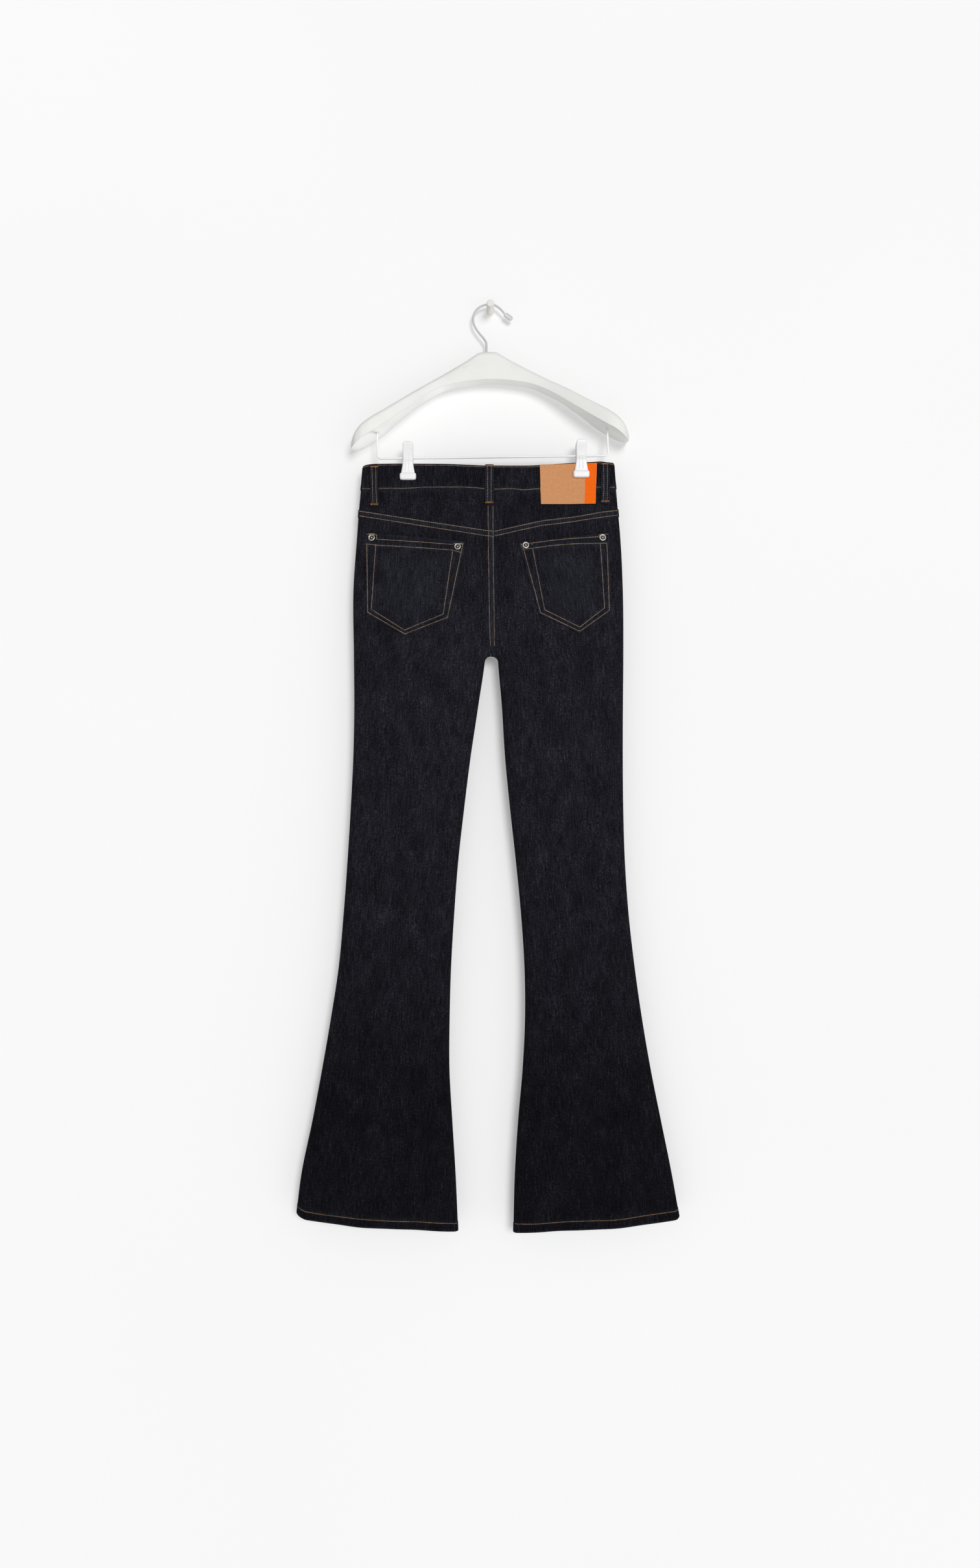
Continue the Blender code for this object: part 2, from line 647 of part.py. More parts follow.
def add_back_pocket(leg, material, collection):
    """Patch pocket, its mouth standing a little open."""
    corners = {key: np.array(value) for key, value in POCKETS[leg]._asdict().items()}
    shares = np.linspace(0, 1, 2 * POCKET_SPANS + 1)
    top = np.outer(1 - shares, corners["outer_top"]) + np.outer(shares, corners["inner_top"])
    low_outer = np.minimum(2 * shares, 1)
    low_inner = np.maximum(2 * shares - 1, 0)
    low = corners["outer_low"] + np.outer(low_outer, corners["point"] - corners["outer_low"])
    low = low + np.outer(low_inner, corners["inner_low"] - corners["point"])
    down = np.linspace(0, 1, POCKET_ROWS)[:, None, None]
    places = top[None] + (low - top)[None] * down
    mouth = POCKET_MOUTH * np.sin(shares * math.pi) * (1 - down[..., 0]) ** 2
    lift = SEAM_GAP + mouth
    name = "back_pocket_" + LEG_NAMES[leg]
    outside, inside = overlay(places[..., 0], places[..., 1], BACK, lift, CLOTH_WALL)
    add_object(name, wall_mesh(name, outside, inside), material, collection)


def add_fly(material, collection):
    """Flap of the left front over the right, with the curved end of the fly."""
    x = np.linspace(FLY_OUTER, FLY_INNER, FLY_COLUMNS)
    down = np.linspace(0.0, 1.0, FLY_ROWS)[:, None]
    top = CENTRE_BAND + SEAM_GAP + FLY_LIFT
    from_inner = (FLY_INNER - x) / (FLY_INNER - FLY_OUTER)
    length = FLY_LENGTH - FLY_CORNER * (1 - np.sqrt(1 - (FLY_SQUARE * from_inner) ** 2))
    drop = top + length[None] * down
    across = np.broadcast_to(x[None], drop.shape)
    outside, inside = overlay(across, drop, FRONT, FLY_LIFT, CLOTH_WALL)
    add_object("fly", wall_mesh("fly", outside, inside), material, collection)


def add_patch(material, collection):
    """Plain card-like patch on the back of the waistband and yoke."""
    corner = np.array(PATCH)
    across = np.linspace(0, 1, PATCH_COLUMNS)[None, :, None]
    down = np.linspace(0, 1, PATCH_ROWS)[:, None, None]
    top = corner[0] + (corner[1] - corner[0]) * across
    low = corner[3] + (corner[2] - corner[3]) * across
    places = top + (low - top) * down
    lift = BAND_PROUD + SEAM_GAP
    outside, inside = overlay(places[..., 0], places[..., 1], BACK, lift, PATCH_WALL)
    add_object("patch", wall_mesh("patch", outside, inside), material, collection)


def add_belt_loop(loop, material, collection):
    """Belt loop that stands off the waistband and comes back onto the cloth below it."""
    down = np.linspace(0, 1, LOOP_ROWS)[:, None]
    drop = loop.top + (loop.bottom - loop.top) * down + np.zeros((1, LOOP_COLUMNS))
    x = loop.x + LOOP_WIDTH * np.linspace(-0.5, 0.5, LOOP_COLUMNS)[None] + np.zeros_like(drop)
    on_band = 1 - smoothstep((drop - CENTRE_BAND - LOOP_STEP) / LOOP_STEP_RUN)
    bulge = LOOP_BULGE * np.sin(down * math.pi) ** 2
    lift = SEAM_GAP + BAND_PROUD * on_band + bulge
    outside, inside = overlay(x, drop, loop.face, lift, LOOP_WALL)
    add_object(loop.name, wall_mesh(loop.name, outside, inside), material, collection)


def add_turned(name, profile, steps, material, collection):
    """Round piece turned about +Z from its outline, given from the top down."""
    mesh = bpy.data.meshes.new(name)
    edges = [(i, i + 1) for i in range(len(profile) - 1)]
    mesh.from_pydata([(radius * MM, 0.0, height * MM) for radius, height in profile], edges, [])
    mesh.materials.append(material)
    thing = bpy.data.objects.new(name, mesh)
    collection.objects.link(thing)
    screw = thing.modifiers.new("Turn", "SCREW")
    screw.steps = steps
    screw.render_steps = steps
    screw.use_merge_vertices = True
    screw.merge_threshold = MERGE
    return thing


def seat_on(thing, x, drop, face, lift):
    """Stand a turned piece on the cloth, its axis along the cloth's normal."""
    point, normal = on_cloth(np.array([x]), np.array([drop]), face, np.array([lift]))
    thing.location = Vector(point[0]) * MM
    thing.rotation_euler = Vector(normal[0]).to_track_quat("Z", "Y").to_euler()


def add_rivets(material, collection):
    """Rivets at the corners of the back pockets and the ends of the front openings."""
    on_pocket = SEAM_GAP + CLOTH_WALL + SEAM_GAP + SEAT_CLEAR
    for leg in (LEFT, RIGHT):
        for place, (x, drop) in zip(("outer", "inner"), POCKET_RIVETS[leg]):
            name = f"rivet_back_{LEG_NAMES[leg]}_{place}"
            rivet = add_turned(name, RIVET_PROFILE, RIVET_STEPS, material, collection)
            seat_on(rivet, x, drop, BACK, on_pocket)
        drops, insets = scoop_edge(leg)
        for place, end in (("top", 0), ("side", -1)):
            inset = insets[end] + RIVET_INSET[place]
            drop = drops[end] + RIVET_BELOW
            name = f"rivet_front_{LEG_NAMES[leg]}_{place}"
            rivet = add_turned(name, RIVET_PROFILE, RIVET_STEPS, material, collection)
            x = float(outer_x(leg, drop)) - leg * inset
            seat_on(rivet, x, drop, FRONT, SEAM_GAP + 2 * SEAT_CLEAR)


def add_button(material, collection):
    """Shank button on the lapped end of the waistband."""
    on_band = BAND_PROUD + BAND_WALL + 2 * SEAM_GAP + SEAT_CLEAR
    button = add_turned("waist_button", BUTTON_PROFILE, BUTTON_STEPS, material, collection)
    seat_on(button, CENTRE_X, BUTTON_DROP, FRONT, on_band)


def add_wire(name, points, radii, bevel, material, collection):
    """Round wire through points in millimetres."""
    curve = bpy.data.curves.new(name, "CURVE")
    curve.dimensions = "3D"
    curve.bevel_depth = bevel * MM
    curve.bevel_resolution = 2
    curve.use_fill_caps = True
    spline = curve.splines.new("POLY")
    spline.points.add(len(points) - 1)
    for spot, place, radius in zip(spline.points, points, radii):
        spot.co = (*(Vector(place) * MM), 1.0)
        spot.radius = radius
    curve.materials.append(material)
    thing = bpy.data.objects.new(name, curve)
    collection.objects.link(thing)
    return thing


def smooth_route(places, per_span):
    """Points along a smooth curve through the places of a route."""
    places = np.array(places, dtype=float)
    steps = np.linalg.norm(np.diff(places, axis=0), axis=1)
    lengths = np.concatenate([[0.0], np.cumsum(steps)])
    at = np.linspace(0, lengths[-1], per_span * (len(places) - 1) + 1)
    return np.stack([follow(lengths, places[:, axis], at) for axis in range(places.shape[1])], axis=1)


def shoulder(column, reach):
    """One column of the hanger's table at any share of the way to a tip."""
    reaches = np.array([row.reach for row in SHOULDERS])
    values = np.array([getattr(row, column) for row in SHOULDERS])
    return follow(reaches, values, reach)


def hanger_ring(share):
    """One section of the hanger; share runs from -1 at the left tip to 1 at the right."""
    top = shoulder("top", abs(share))
    bottom = shoulder("bottom", abs(share))
    depth = shoulder("depth", abs(share))
    x = HANGER_X + share * HANGER_REACH[RIGHT if share > 0 else LEFT]
    angle = np.linspace(0, 2 * math.pi, HANGER_SIDES, endpoint=False) + math.pi / HANGER_SIDES
    out = np.sign(np.cos(angle)) * np.abs(np.cos(angle)) ** HANGER_SQUARENESS
    up = np.sign(np.sin(angle)) * np.abs(np.sin(angle)) ** HANGER_SQUARENESS
    y = HANGER_BACK_Y - depth / 2 * (1 - out)
    z = (top + bottom) / 2 + HANGER_TILT * x + (top - bottom) / 2 * up
    return np.stack([np.full(HANGER_SIDES, x), y, z], axis=1)


def hanger_underside(x):
    """Height of the hanger's underside at x."""
    reach = HANGER_REACH[RIGHT if x > HANGER_X else LEFT]
    return float(shoulder("bottom", abs(x - HANGER_X) / reach)) + HANGER_TILT * x


def bore(name, x, y, z_low, z_high, radius, collection):
    """Upright cutter for a hole."""
    work = bmesh.new()
    bmesh.ops.create_cone(
        work, cap_ends=True, segments=HOLE_SIDES, radius1=radius * MM, radius2=radius * MM,
        depth=(z_high - z_low) * MM)
    mesh = bpy.data.meshes.new(name)
    work.to_mesh(mesh)
    work.free()
    cutter = bpy.data.objects.new(name, mesh)
    cutter.location = (x * MM, y * MM, (z_low + z_high) / 2 * MM)
    cutter.hide_render = True
    cutter.display_type = "WIRE"
    collection.objects.link(cutter)
    return cutter


def add_hanger_body(material, collection, cutters):
    """Broad wooden hanger with holes for the bar's ends and the hook."""
    even = np.linspace(-1, 1, 2 * HANGER_STATIONS + 1)
    shares = HANGER_CROWDING * np.sin(even * math.pi / 2) + (1 - HANGER_CROWDING) * even
    rings = np.array([hanger_ring(share) for share in shares])
    count, sides = rings.shape[:2]
    faces = grid_faces(count, sides, closed=True)
    faces.append(tuple(range(sides)))
    faces.append(tuple(range((count - 1) * sides, count * sides)))
    mesh = close_mesh("hanger_body", rings.reshape(-1, 3), faces)
    body = add_object("hanger_body", mesh, material, collection)
    top = SHOULDERS[0].top
    hook_hole = (HOOK_X, HOOK_Y, top - HOOK_SOCKET - HOLE_CLEAR, top + HOLE_OVER)
    holes = [bore("bore_hook", *hook_hole, HOOK_RADIUS + HOLE_CLEAR, cutters)]
    for leg in (LEFT, RIGHT):
        low = hanger_underside(BAR_HOLE_X[leg])
        bar_hole = (BAR_HOLE_X[leg], MIDDLE_Y, low - HOLE_OVER, low + BAR_SOCKET + HOLE_CLEAR)
        name = "bore_bar_" + LEG_NAMES[leg]
        holes.append(bore(name, *bar_hole, BAR_RADIUS + HOLE_CLEAR, cutters))
    for hole in holes:
        cut = body.modifiers.new(hole.name, "BOOLEAN")
        cut.operation = "DIFFERENCE"
        cut.object = hole


def add_hook(material, collection):
    """Wire hook over the peg, with its flattened tip."""
    stem = (HOOK_X, SHOULDERS[0].top - HOOK_SOCKET)
    route = smooth_route((stem,) + HOOK_ROUTE, 2)
    places = [(x, HOOK_Y, z) for x, z in route] + [(x, HOOK_Y, z) for (x, z), _ in HOOK_TIP]
    radii = [1.0] * len(route) + [radius for _, radius in HOOK_TIP]
    add_wire("hanger_hook", places, radii, HOOK_RADIUS, material, collection)


def bar_bend(leg):
    """Points of the bar from its hole in the hanger round its lower corner."""
    hole_x = BAR_HOLE_X[leg]
    corner_x = BAR_CORNER_X[leg]
    low = BAR_Z + HANGER_TILT * corner_x
    top = hanger_underside(hole_x)
    points = [(hole_x, top + BAR_SOCKET), (hole_x, top + HOLE_CLEAR)]
    points.append(((hole_x + corner_x) / 2, (top + low) / 2))
    for angle in np.radians(BEND_ANGLES):
        x = corner_x - leg * BAR_CORNER * (1 - math.cos(angle))
        points.append((x, low + BAR_CORNER * (1 - math.sin(angle))))
    return points


def add_bar(material, collection):
    """Wire bar under the hanger, bent up into it at both ends."""
    left = bar_bend(LEFT)
    right = bar_bend(RIGHT)
    between = np.linspace(left[-1], right[-1], BAR_SPANS + 1)[1:-1]
    route = left + [tuple(point) for point in between] + right[::-1]
    places = [(x, MIDDLE_Y, z) for x, z in route]
    add_wire("hanger_bar", places, [1.0] * len(places), BAR_RADIUS, material, collection)


def add_clip_half(leg, face, material, collection):
    """Half of a clip: a bowed handle over the bar and a broad jaw on the waistband."""
    extra = CLIP_OVER_PATCH if leg == RIGHT and face == BACK else 0.0
    shift = -HANGER_TILT * CLIP_X[leg]
    across = np.array(CLIP_ACROSS)
    crown = np.array(CLIP_CROWN)
    outside, inside = [], []
    for grip in GRIPS:
        opened = np.clip((grip.drop - GRIP_STARTS) / (GRIP_OPENS - GRIP_STARTS), 0.0, 1.0)
        near = grip.near + extra * opened
        x = CLIP_X[leg] + grip.half_width * across
        inside.append(to_world(x, near, grip.drop + shift, face))
        outside.append(to_world(x, near + grip.thick * crown, grip.drop + shift, face))
    name = f"clip_{LEG_NAMES[leg]}_{'back' if face == BACK else 'front'}"
    add_object(name, wall_mesh(name, np.array(outside), np.array(inside)), material, collection)


def add_peg(material, collection):
    """Fluted dowel peg that stands out of the wall."""
    work = bmesh.new()
    bmesh.ops.create_cone(
        work, cap_ends=True, segments=2 * PEG_FLUTES, radius1=PEG_RADIUS * MM,
        radius2=PEG_RADIUS * MM, depth=PEG_LENGTH * MM)
    groove = 1 - PEG_FLUTE_DEPTH / PEG_RADIUS
    for vertex in work.verts:
        step = round(math.atan2(vertex.co.y, vertex.co.x) / (math.pi / PEG_FLUTES))
        if step % 2:
            vertex.co.xy *= groove
        if vertex.co.z > 0:
            vertex.co.z -= PEG_CHAMFER * MM
    cap = [f for f in work.faces if all(v.co.z > 0 for v in f.verts)]
    raised = bmesh.ops.extrude_discrete_faces(work, faces=cap)["faces"]
    for face in raised:
        for vertex in face.verts:
            vertex.co.xy *= 1 - PEG_CHAMFER / PEG_RADIUS
            vertex.co.z += PEG_CHAMFER * MM
    mesh = bpy.data.meshes.new("wall_peg")
    work.to_mesh(mesh)
    work.free()
    peg = add_object("wall_peg", mesh, material, collection)
    peg.rotation_euler = (math.pi / 2, 0.0, 0.0)
    peg.location = (0.0, -PEG_LENGTH / 2 * MM, 0.0)


def new_collection(name):
    """Collection linked to the scene."""
    collection = bpy.data.collections.new(name)
    bpy.context.scene.collection.children.link(collection)
    return collection


def main():
    """Model every piece."""
    for thing in list(bpy.data.objects):
        bpy.data.objects.remove(thing)
    parts = new_collection("flared_jeans_on_hanger")
    cutters = new_collection("cutters")

    denim = make_material("indigo_denim", "1E1E26", 0.85)
    card = make_material("kraft_patch", "C9916A", 0.7)
    nickel = make_material("nickel", "B9B9B4", 0.3, 1.0)
    wood = make_material("white_painted_wood", "E8E8E4", 0.45)
    wire = make_material("white_coated_wire", "EDEDED", 0.35)
    steel = make_material("pale_steel_wire", "D9D9D9", 0.35, 0.3)
    plastic = make_material("white_plastic", "F4F2F2", 0.35)
    dowel = make_material("white_dowel", "E9E6E2", 0.6)

    add_waistband(denim, parts)
    for leg in (LEFT, RIGHT):
        add_yoke(leg, denim, parts)
        add_back_panel(leg, denim, parts)
        add_front_panel(leg, denim, parts)
        add_facing(leg, denim, parts)
        add_back_pocket(leg, denim, parts)
    add_fly(denim, parts)
    for loop in LOOPS:
        add_belt_loop(loop, denim, parts)
    add_patch(card, parts)
    add_rivets(nickel, parts)
    add_button(nickel, parts)

    add_hanger_body(wood, parts, cutters)
    add_hook(steel, parts)
    add_bar(wire, parts)
    for leg in (LEFT, RIGHT):
        for face in (BACK, FRONT):
            add_clip_half(leg, face, plastic, parts)
    add_peg(dowel, parts)


main()
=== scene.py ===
"""Flared jeans on a clip hanger and wall peg: fine cloth, sewing, hardware and finishes.

Cloth is worked out in millimetres: x to the right, and "drop" down from the middle of the
waistband's top edge. Depth is the distance off the garment's middle plane, and lift is the
height of a face off the cloth's form.
"""

import logging
import math
from dataclasses import dataclass, field
from enum import IntEnum

import bmesh
import bpy
import numpy as np
from bpy.types import ID, Material, Node, NodeSocket, Object
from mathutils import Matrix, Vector


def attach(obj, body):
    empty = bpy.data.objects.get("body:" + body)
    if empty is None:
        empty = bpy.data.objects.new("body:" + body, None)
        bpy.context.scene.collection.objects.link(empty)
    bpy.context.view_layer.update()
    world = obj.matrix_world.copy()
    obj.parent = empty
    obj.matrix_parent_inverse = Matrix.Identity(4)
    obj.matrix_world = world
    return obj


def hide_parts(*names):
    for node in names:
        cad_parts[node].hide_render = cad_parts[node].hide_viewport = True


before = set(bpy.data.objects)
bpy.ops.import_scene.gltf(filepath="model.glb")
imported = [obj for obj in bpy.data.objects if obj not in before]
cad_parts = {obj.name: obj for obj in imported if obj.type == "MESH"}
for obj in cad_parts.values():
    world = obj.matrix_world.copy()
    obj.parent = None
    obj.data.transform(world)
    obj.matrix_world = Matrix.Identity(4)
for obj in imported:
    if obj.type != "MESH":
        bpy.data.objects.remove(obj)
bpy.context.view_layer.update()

LOG = logging.getLogger("flared_jeans")
MM = 0.001
TINY = 1e-9
BODY = "root"
# Middles of the two clips on the bar.
CLIP_X = (-120.5, 133.0)
# How much higher the hanger and its bar hang for each millimetre to the right.
HOLDER_TILT = 0.0122
# How far in from the side, and down from the band, the front pockets' scoops run.
SCOOP_REACH = 92.0
SCOOP_DEPTH = 66.0
# Drop of the yoke seam at the sides.
SIDE_LEVEL = 66.0
# Drop where the rows of the centre seams stop, short of the crotch.
SEAT_SEAM_END = 262.0

Array = np.ndarray
Number = float | np.ndarray
Points = tuple[tuple[float, float], ...]
Profile = tuple[tuple[float, float, float], ...]


class Leg(IntEnum):
    """Which leg, as seen by someone who faces the back of the jeans."""

    LEFT = -1
    RIGHT = 1

    @property
    def word(self) -> str:
        """Name used in the pieces' names."""
        return self.name.lower()


class Face(IntEnum):
    """Which side of the garment: the back faces the room, the front faces the wall."""

    BACK = -1
    FRONT = 1

    @property
    def word(self) -> str:
        """Name used in the pieces' names."""
        return self.name.lower()


@dataclass(frozen=True)
class Section:
    """One level of the cloth tubes: edges of both legs, half depth and side radius."""

    drop: float
    left_out: float
    left_in: float
    right_in: float
    right_out: float
    depth: float
    side_radius: float


@dataclass(frozen=True)
class LegLines:
    """Lines that cross a leg, as drops at its outer edge, and at its inner edge for the hem."""

    top: float
    band: float
    yoke: float
    hem_out: float
    hem_in: float
    corner_lift: float
    corner_run: float
    bow: float
    row_inset: float


@dataclass(frozen=True)
class Fold:
    """Long flute that grows down a leg."""

    leg: Leg
    face: Face
    top: float
    top_x: float
    end: float
    end_x: float
    width: float
    height: float


@dataclass(frozen=True)
class Crease:
    """Soft ridge, or trough if its height is negative, that fades out at both ends."""

    x: float
    drop: float
    end_x: float
    end_drop: float
    width: float
    height: float


@dataclass(frozen=True)
class Pucker:
    """Ripples that a seam's stitches draw into the cloth beside it."""

    path: Points
    reach: float
    wave: float
    height: float


SECTIONS = tuple(Section(*row) for row in (
    (-12, -186.2, -6.0, 9.5, 181.0, 19.0, 3.2),
    (26, -189.2, -6.0, 9.5, 183.8, 19.0, 3.2),
    (64, -192.6, -6.0, 9.5, 187.2, 20.0, 5.0),
    (102, -195.4, -6.2, 9.8, 190.5, 21.0, 6.5),
    (178, -200.6, -6.6, 10.2, 194.2, 22.0, 7.0),
    (273, -200.0, -7.0, 10.6, 195.0, 20.5, 7.0),
    (349, -199.4, -17.6, 16.8, 194.4, 18.5, 7.0),
    (425, -200.9, -29.0, 21.6, 194.2, 17.0, 6.5),
    (501, -204.7, -38.5, 29.0, 194.9, 15.5, 6.5),
    (577, -209.4, -47.0, 37.4, 197.3, 14.5, 6.0),
    (653, -215.0, -52.8, 44.8, 202.6, 14.0, 6.0),
    (729, -221.9, -57.3, 49.8, 211.2, 14.0, 6.0),
    (805, -233.4, -59.5, 50.8, 222.0, 15.0, 6.0),
    (881, -246.5, -59.8, 47.2, 235.0, 16.5, 6.0),
    (957, -260.8, -55.6, 40.6, 250.2, 18.0, 6.0),
    (1033, -276.6, -50.9, 35.9, 265.6, 19.5, 6.0),
    (1120, -287.0, -47.0, 33.6, 281.0, 20.5, 6.0),
))
LINES = {
    Leg.LEFT: LegLines(-1.8, 33.0, 67.8, 1099.9, 1116.6, 9.5, 20.0, 2.6, 1.6),
    Leg.RIGHT: LegLines(-7.8, 31.0, 64.2, 1099.0, 1118.5, 3.0, 8.0, 0.0, 0.5),
}
FOLDS = (
    Fold(Leg.LEFT, Face.BACK, 760, -152, 1120, -190, 27, 4.6),
    Fold(Leg.LEFT, Face.BACK, 820, -108, 1120, -108, 25, -3.4),
    Fold(Leg.RIGHT, Face.BACK, 740, 150, 1120, 186, 28, 4.8),
    Fold(Leg.RIGHT, Face.BACK, 830, 104, 1120, 100, 25, -3.6),
    Fold(Leg.LEFT, Face.FRONT, 800, -130, 1120, -146, 28, 4.2),
    Fold(Leg.LEFT, Face.FRONT, 840, -178, 1120, -220, 25, -3.2),
    Fold(Leg.RIGHT, Face.FRONT, 790, 120, 1120, 138, 28, 4.4),
    Fold(Leg.RIGHT, Face.FRONT, 850, 172, 1120, 214, 25, -3.2),
)
CREASES = {
    face: tuple(Crease(*row) for row in rows) for face, rows in (
        (Face.BACK, (
            # Drag lines that fan out from the crotch at the back.
            (-12, 264, -72, 298, 7, -1.3), (-16, 278, -98, 350, 10, -1.6),
            (-10, 250, -54, 262, 6, 0.9), (12, 260, 68, 286, 7, -1.2),
            (17, 284, 96, 356, 11, -1.5), (11, 246, 46, 252, 6, 0.8),
            # Slack under the seat and behind the knees.
            (-58, 322, -178, 300, 14, 1.5), (60, 326, 166, 304, 13, 1.3),
            (-58, 604, -152, 578, 12, -1.4), (-74, 660, -196, 640, 15, -1.6),
            (-94, 556, -186, 548, 10, 1.1), (54, 612, 142, 590, 12, -1.3),
            (78, 672, 190, 642, 15, -1.6), (62, 560, 150, 552, 10, 1.1),
            # Long soft runs down the thighs and calves.
            (-168, 320, -160, 580, 16, 1.8), (-92, 390, -104, 560, 12, -1.3),
            (150, 330, 154, 600, 16, 1.7), (96, 380, 90, 540, 13, -1.4),
            (-112, 700, -106, 880, 14, -1.4), (112, 700, 114, 900, 14, -1.3),
            (-236, 890, -264, 1112, 14, -2.2), (-80, 930, -76, 1112, 13, 1.8),
            (236, 890, 260, 1110, 14, -2.1), (70, 940, 66, 1114, 12, 1.7),
            # Pull below the clips and slack in the yoke.
            (-120, 44, -117, 96, 8, 0.9), (-96, 42, -64, 70, 8, -0.8), (-60, 40, -44, 90, 9, 0.7),
            (132, 58, 136, 94, 8, 0.8), (42, 46, 56, 92, 10, 0.8), (-150, 40, -138, 66, 7, -0.7),
            (-96, 140, -92, 210, 12, 0.9), (112, 136, 110, 200, 12, 0.8),
            # The band rolls along its lower edge, sinks above it, and the yoke tucks in below.
            (-168, 26, -30, 25, 4.0, 0.8), (-112, 17, -22, 19, 6.0, -0.8),
            (-160, 9, -132, 13, 7.0, 0.7), (-92, 5, -48, 9, 6.0, 0.6),
            (-150, 39, -40, 38, 3.6, -1.1), (8, 19, 58, 20, 6.0, -0.8), (10, 8, 62, 9, 6.0, 0.6),
            (6, 28, 74, 27, 4.0, 0.7), (12, 40, 72, 39, 3.6, -1.0), (-150, 52, -96, 62, 7.0, 0.6),
            (-22, 52, -6, 84, 6.0, -0.8), (-46, 60, -24, 88, 7.0, 0.7),
            (14, 58, 30, 84, 7.0, -0.8), (36, 70, 66, 78, 6.0, 0.6),
            (-182, 100, -166, 150, 7.0, 0.7), (172, 100, 168, 150, 7.0, 0.7),
        )),
        (Face.FRONT, (
            # Whiskers at the hips, and slack at the knees.
            (-14, 232, -96, 206, 8, -1.4), (-12, 256, -118, 256, 9, -1.5),
            (-16, 280, -104, 318, 10, -1.4), (14, 228, 92, 200, 8, -1.3),
            (14, 252, 122, 250, 9, -1.6), (18, 282, 100, 322, 10, -1.3),
            (-62, 590, -176, 604, 13, 1.4), (-80, 644, -192, 660, 13, -1.4),
            (58, 586, 168, 598, 13, 1.3), (74, 650, 184, 664, 13, -1.4),
            (-124, 330, -132, 570, 16, 1.7), (122, 336, 130, 580, 16, 1.6),
            (-150, 700, -164, 900, 15, 1.4), (150, 690, 160, 890, 15, 1.4),
            (-90, 900, -84, 1112, 14, -1.9), (84, 910, 78, 1114, 14, -1.8),
        )),
    )
}
YOKE_SEAM = (
    (-194.0, 65.2), (-120.0, 79.0), (-60.0, 90.0), (0.8, 98.2), (60.0, 86.0), (110.0, 78.5),
    (188.0, 61.8),
)
BAND_SEAM = ((-189.0, 33.0), (0.8, 35.5), (184.0, 31.0))
PUCKERS = {
    Face.BACK: (
        Pucker(YOKE_SEAM, 7.0, 8.6, 0.22), Pucker(BAND_SEAM, 6.0, 10.4, 0.26),
        Pucker(((0.8, 36.0), (0.8, 276.0)), 8.0, 9.6, 0.26)),
    Face.FRONT: (
        Pucker(BAND_SEAM, 6.0, 10.2, 0.26), Pucker(((0.8, 170.0), (0.8, 276.0)), 8.0, 9.2, 0.26)),
}
# How the band's top edge and lower edge wander from their lines: x and drop.
TOP_WAVE = (
    (-188.0, 1.2), (-183.5, -0.7), (-179.0, -1.8), (-172.0, -2.6), (-157.0, -3.0),
    (-105.0, -3.0), (-86.0, -2.7), (-72.0, -2.3), (-58.0, -1.6), (-44.0, -0.5), (-30.0, 0.5),
    (-20.0, 1.1), (-13.0, 1.6), (5.0, 2.0), (27.0, 2.6), (40.0, 2.8), (64.0, 2.6), (80.0, 1.7),
    (110.0, 0.3), (150.0, -0.7), (163.0, -0.8), (170.0, 0.3), (176.0, 1.3), (180.5, 2.0),
    (182.5, 3.6),
)
BAND_WAVE = (
    (-189.7, 0.2), (-167.0, -0.4), (-155.6, -0.9), (-132.9, -1.1), (-112.1, -2.0),
    (-102.7, -2.9), (-82.8, -3.3), (-71.4, -3.4), (-59.1, -3.1), (-47.8, -3.1), (-34.5, -2.6),
    (-20.3, -1.6), (-8.0, -0.5), (6.2, 0.5), (30.8, 0.0), (47.8, 1.6), (69.5, 0.3), (110.0, 0.2),
    (155.6, -0.6), (183.1, 0.4),
)


def smoothstep(value: Number) -> Number:
    """Ease from 0 to 1 as value goes from 0 to 1."""
    share = np.clip(value, 0.0, 1.0)
    return share * share * (3.0 - 2.0 * share)


def bump_at(away: Number, width: float) -> Number:
    """Bell curve: 1 at no distance away, and almost 0 at two widths."""
    return np.exp(-((away / width) ** 2))


def follow(table: Points, at: Number) -> Number:
    """Read a smooth curve through a table.

    Args:
        table: rows of a position, increasing, and the curve's value there.
        at: where to read it.

    Returns:
        The value at each place asked for.
    """
    places, values = np.array(table, dtype=float).T
    slopes = np.gradient(values, places)
    low = np.clip(np.searchsorted(places, at) - 1, 0, len(places) - 2)
    step = places[low + 1] - places[low]
    t = np.clip((at - places[low]) / step, 0.0, 1.0)
    start = (1 + 2 * t) * (1 - t) ** 2 * values[low] + t * (1 - t) ** 2 * step * slopes[low]
    end = t * t * (3 - 2 * t) * values[low + 1] + t * t * (t - 1) * step * slopes[low + 1]
    return start + end


def straight(table: Points, at: Number) -> Number:
    """Read straight spans between a table's rows, which may come in any order."""
    return np.interp(at, *np.array(sorted(table)).T)


def nearest_on_path(x: Array, drop: Array, path: Points) -> tuple[Array, Array]:
    """Distance from each point to a path, and how far along the path that is.

    Args:
        x: the points' x.
        drop: the points' drops.
        path: corners of the path as x and drop.

    Returns:
        The distances and the positions along the path, in millimetres.
    """
    x, drop = np.broadcast_arrays(x, drop)
    best = np.full(x.shape, np.inf)
    along = np.zeros(x.shape)
    run = 0.0
    for (x0, d0), (x1, d1) in zip(path, path[1:]):
        length = math.hypot(x1 - x0, d1 - d0)
        share = ((x - x0) * (x1 - x0) + (drop - d0) * (d1 - d0)) / length ** 2
        share = np.clip(share, 0.0, 1.0)
        gap = np.hypot(x - x0 - share * (x1 - x0), drop - d0 - share * (d1 - d0))
        along = np.where(gap < best, run + share * length, along)
        best = np.minimum(gap, best)
        run += length
    return best, along


def run_along(path: Array) -> Array:
    """How far along a path each of its points lies."""
    steps = np.linalg.norm(np.diff(path, axis=0), axis=1)
    return np.concatenate([[0.0], np.cumsum(steps)])


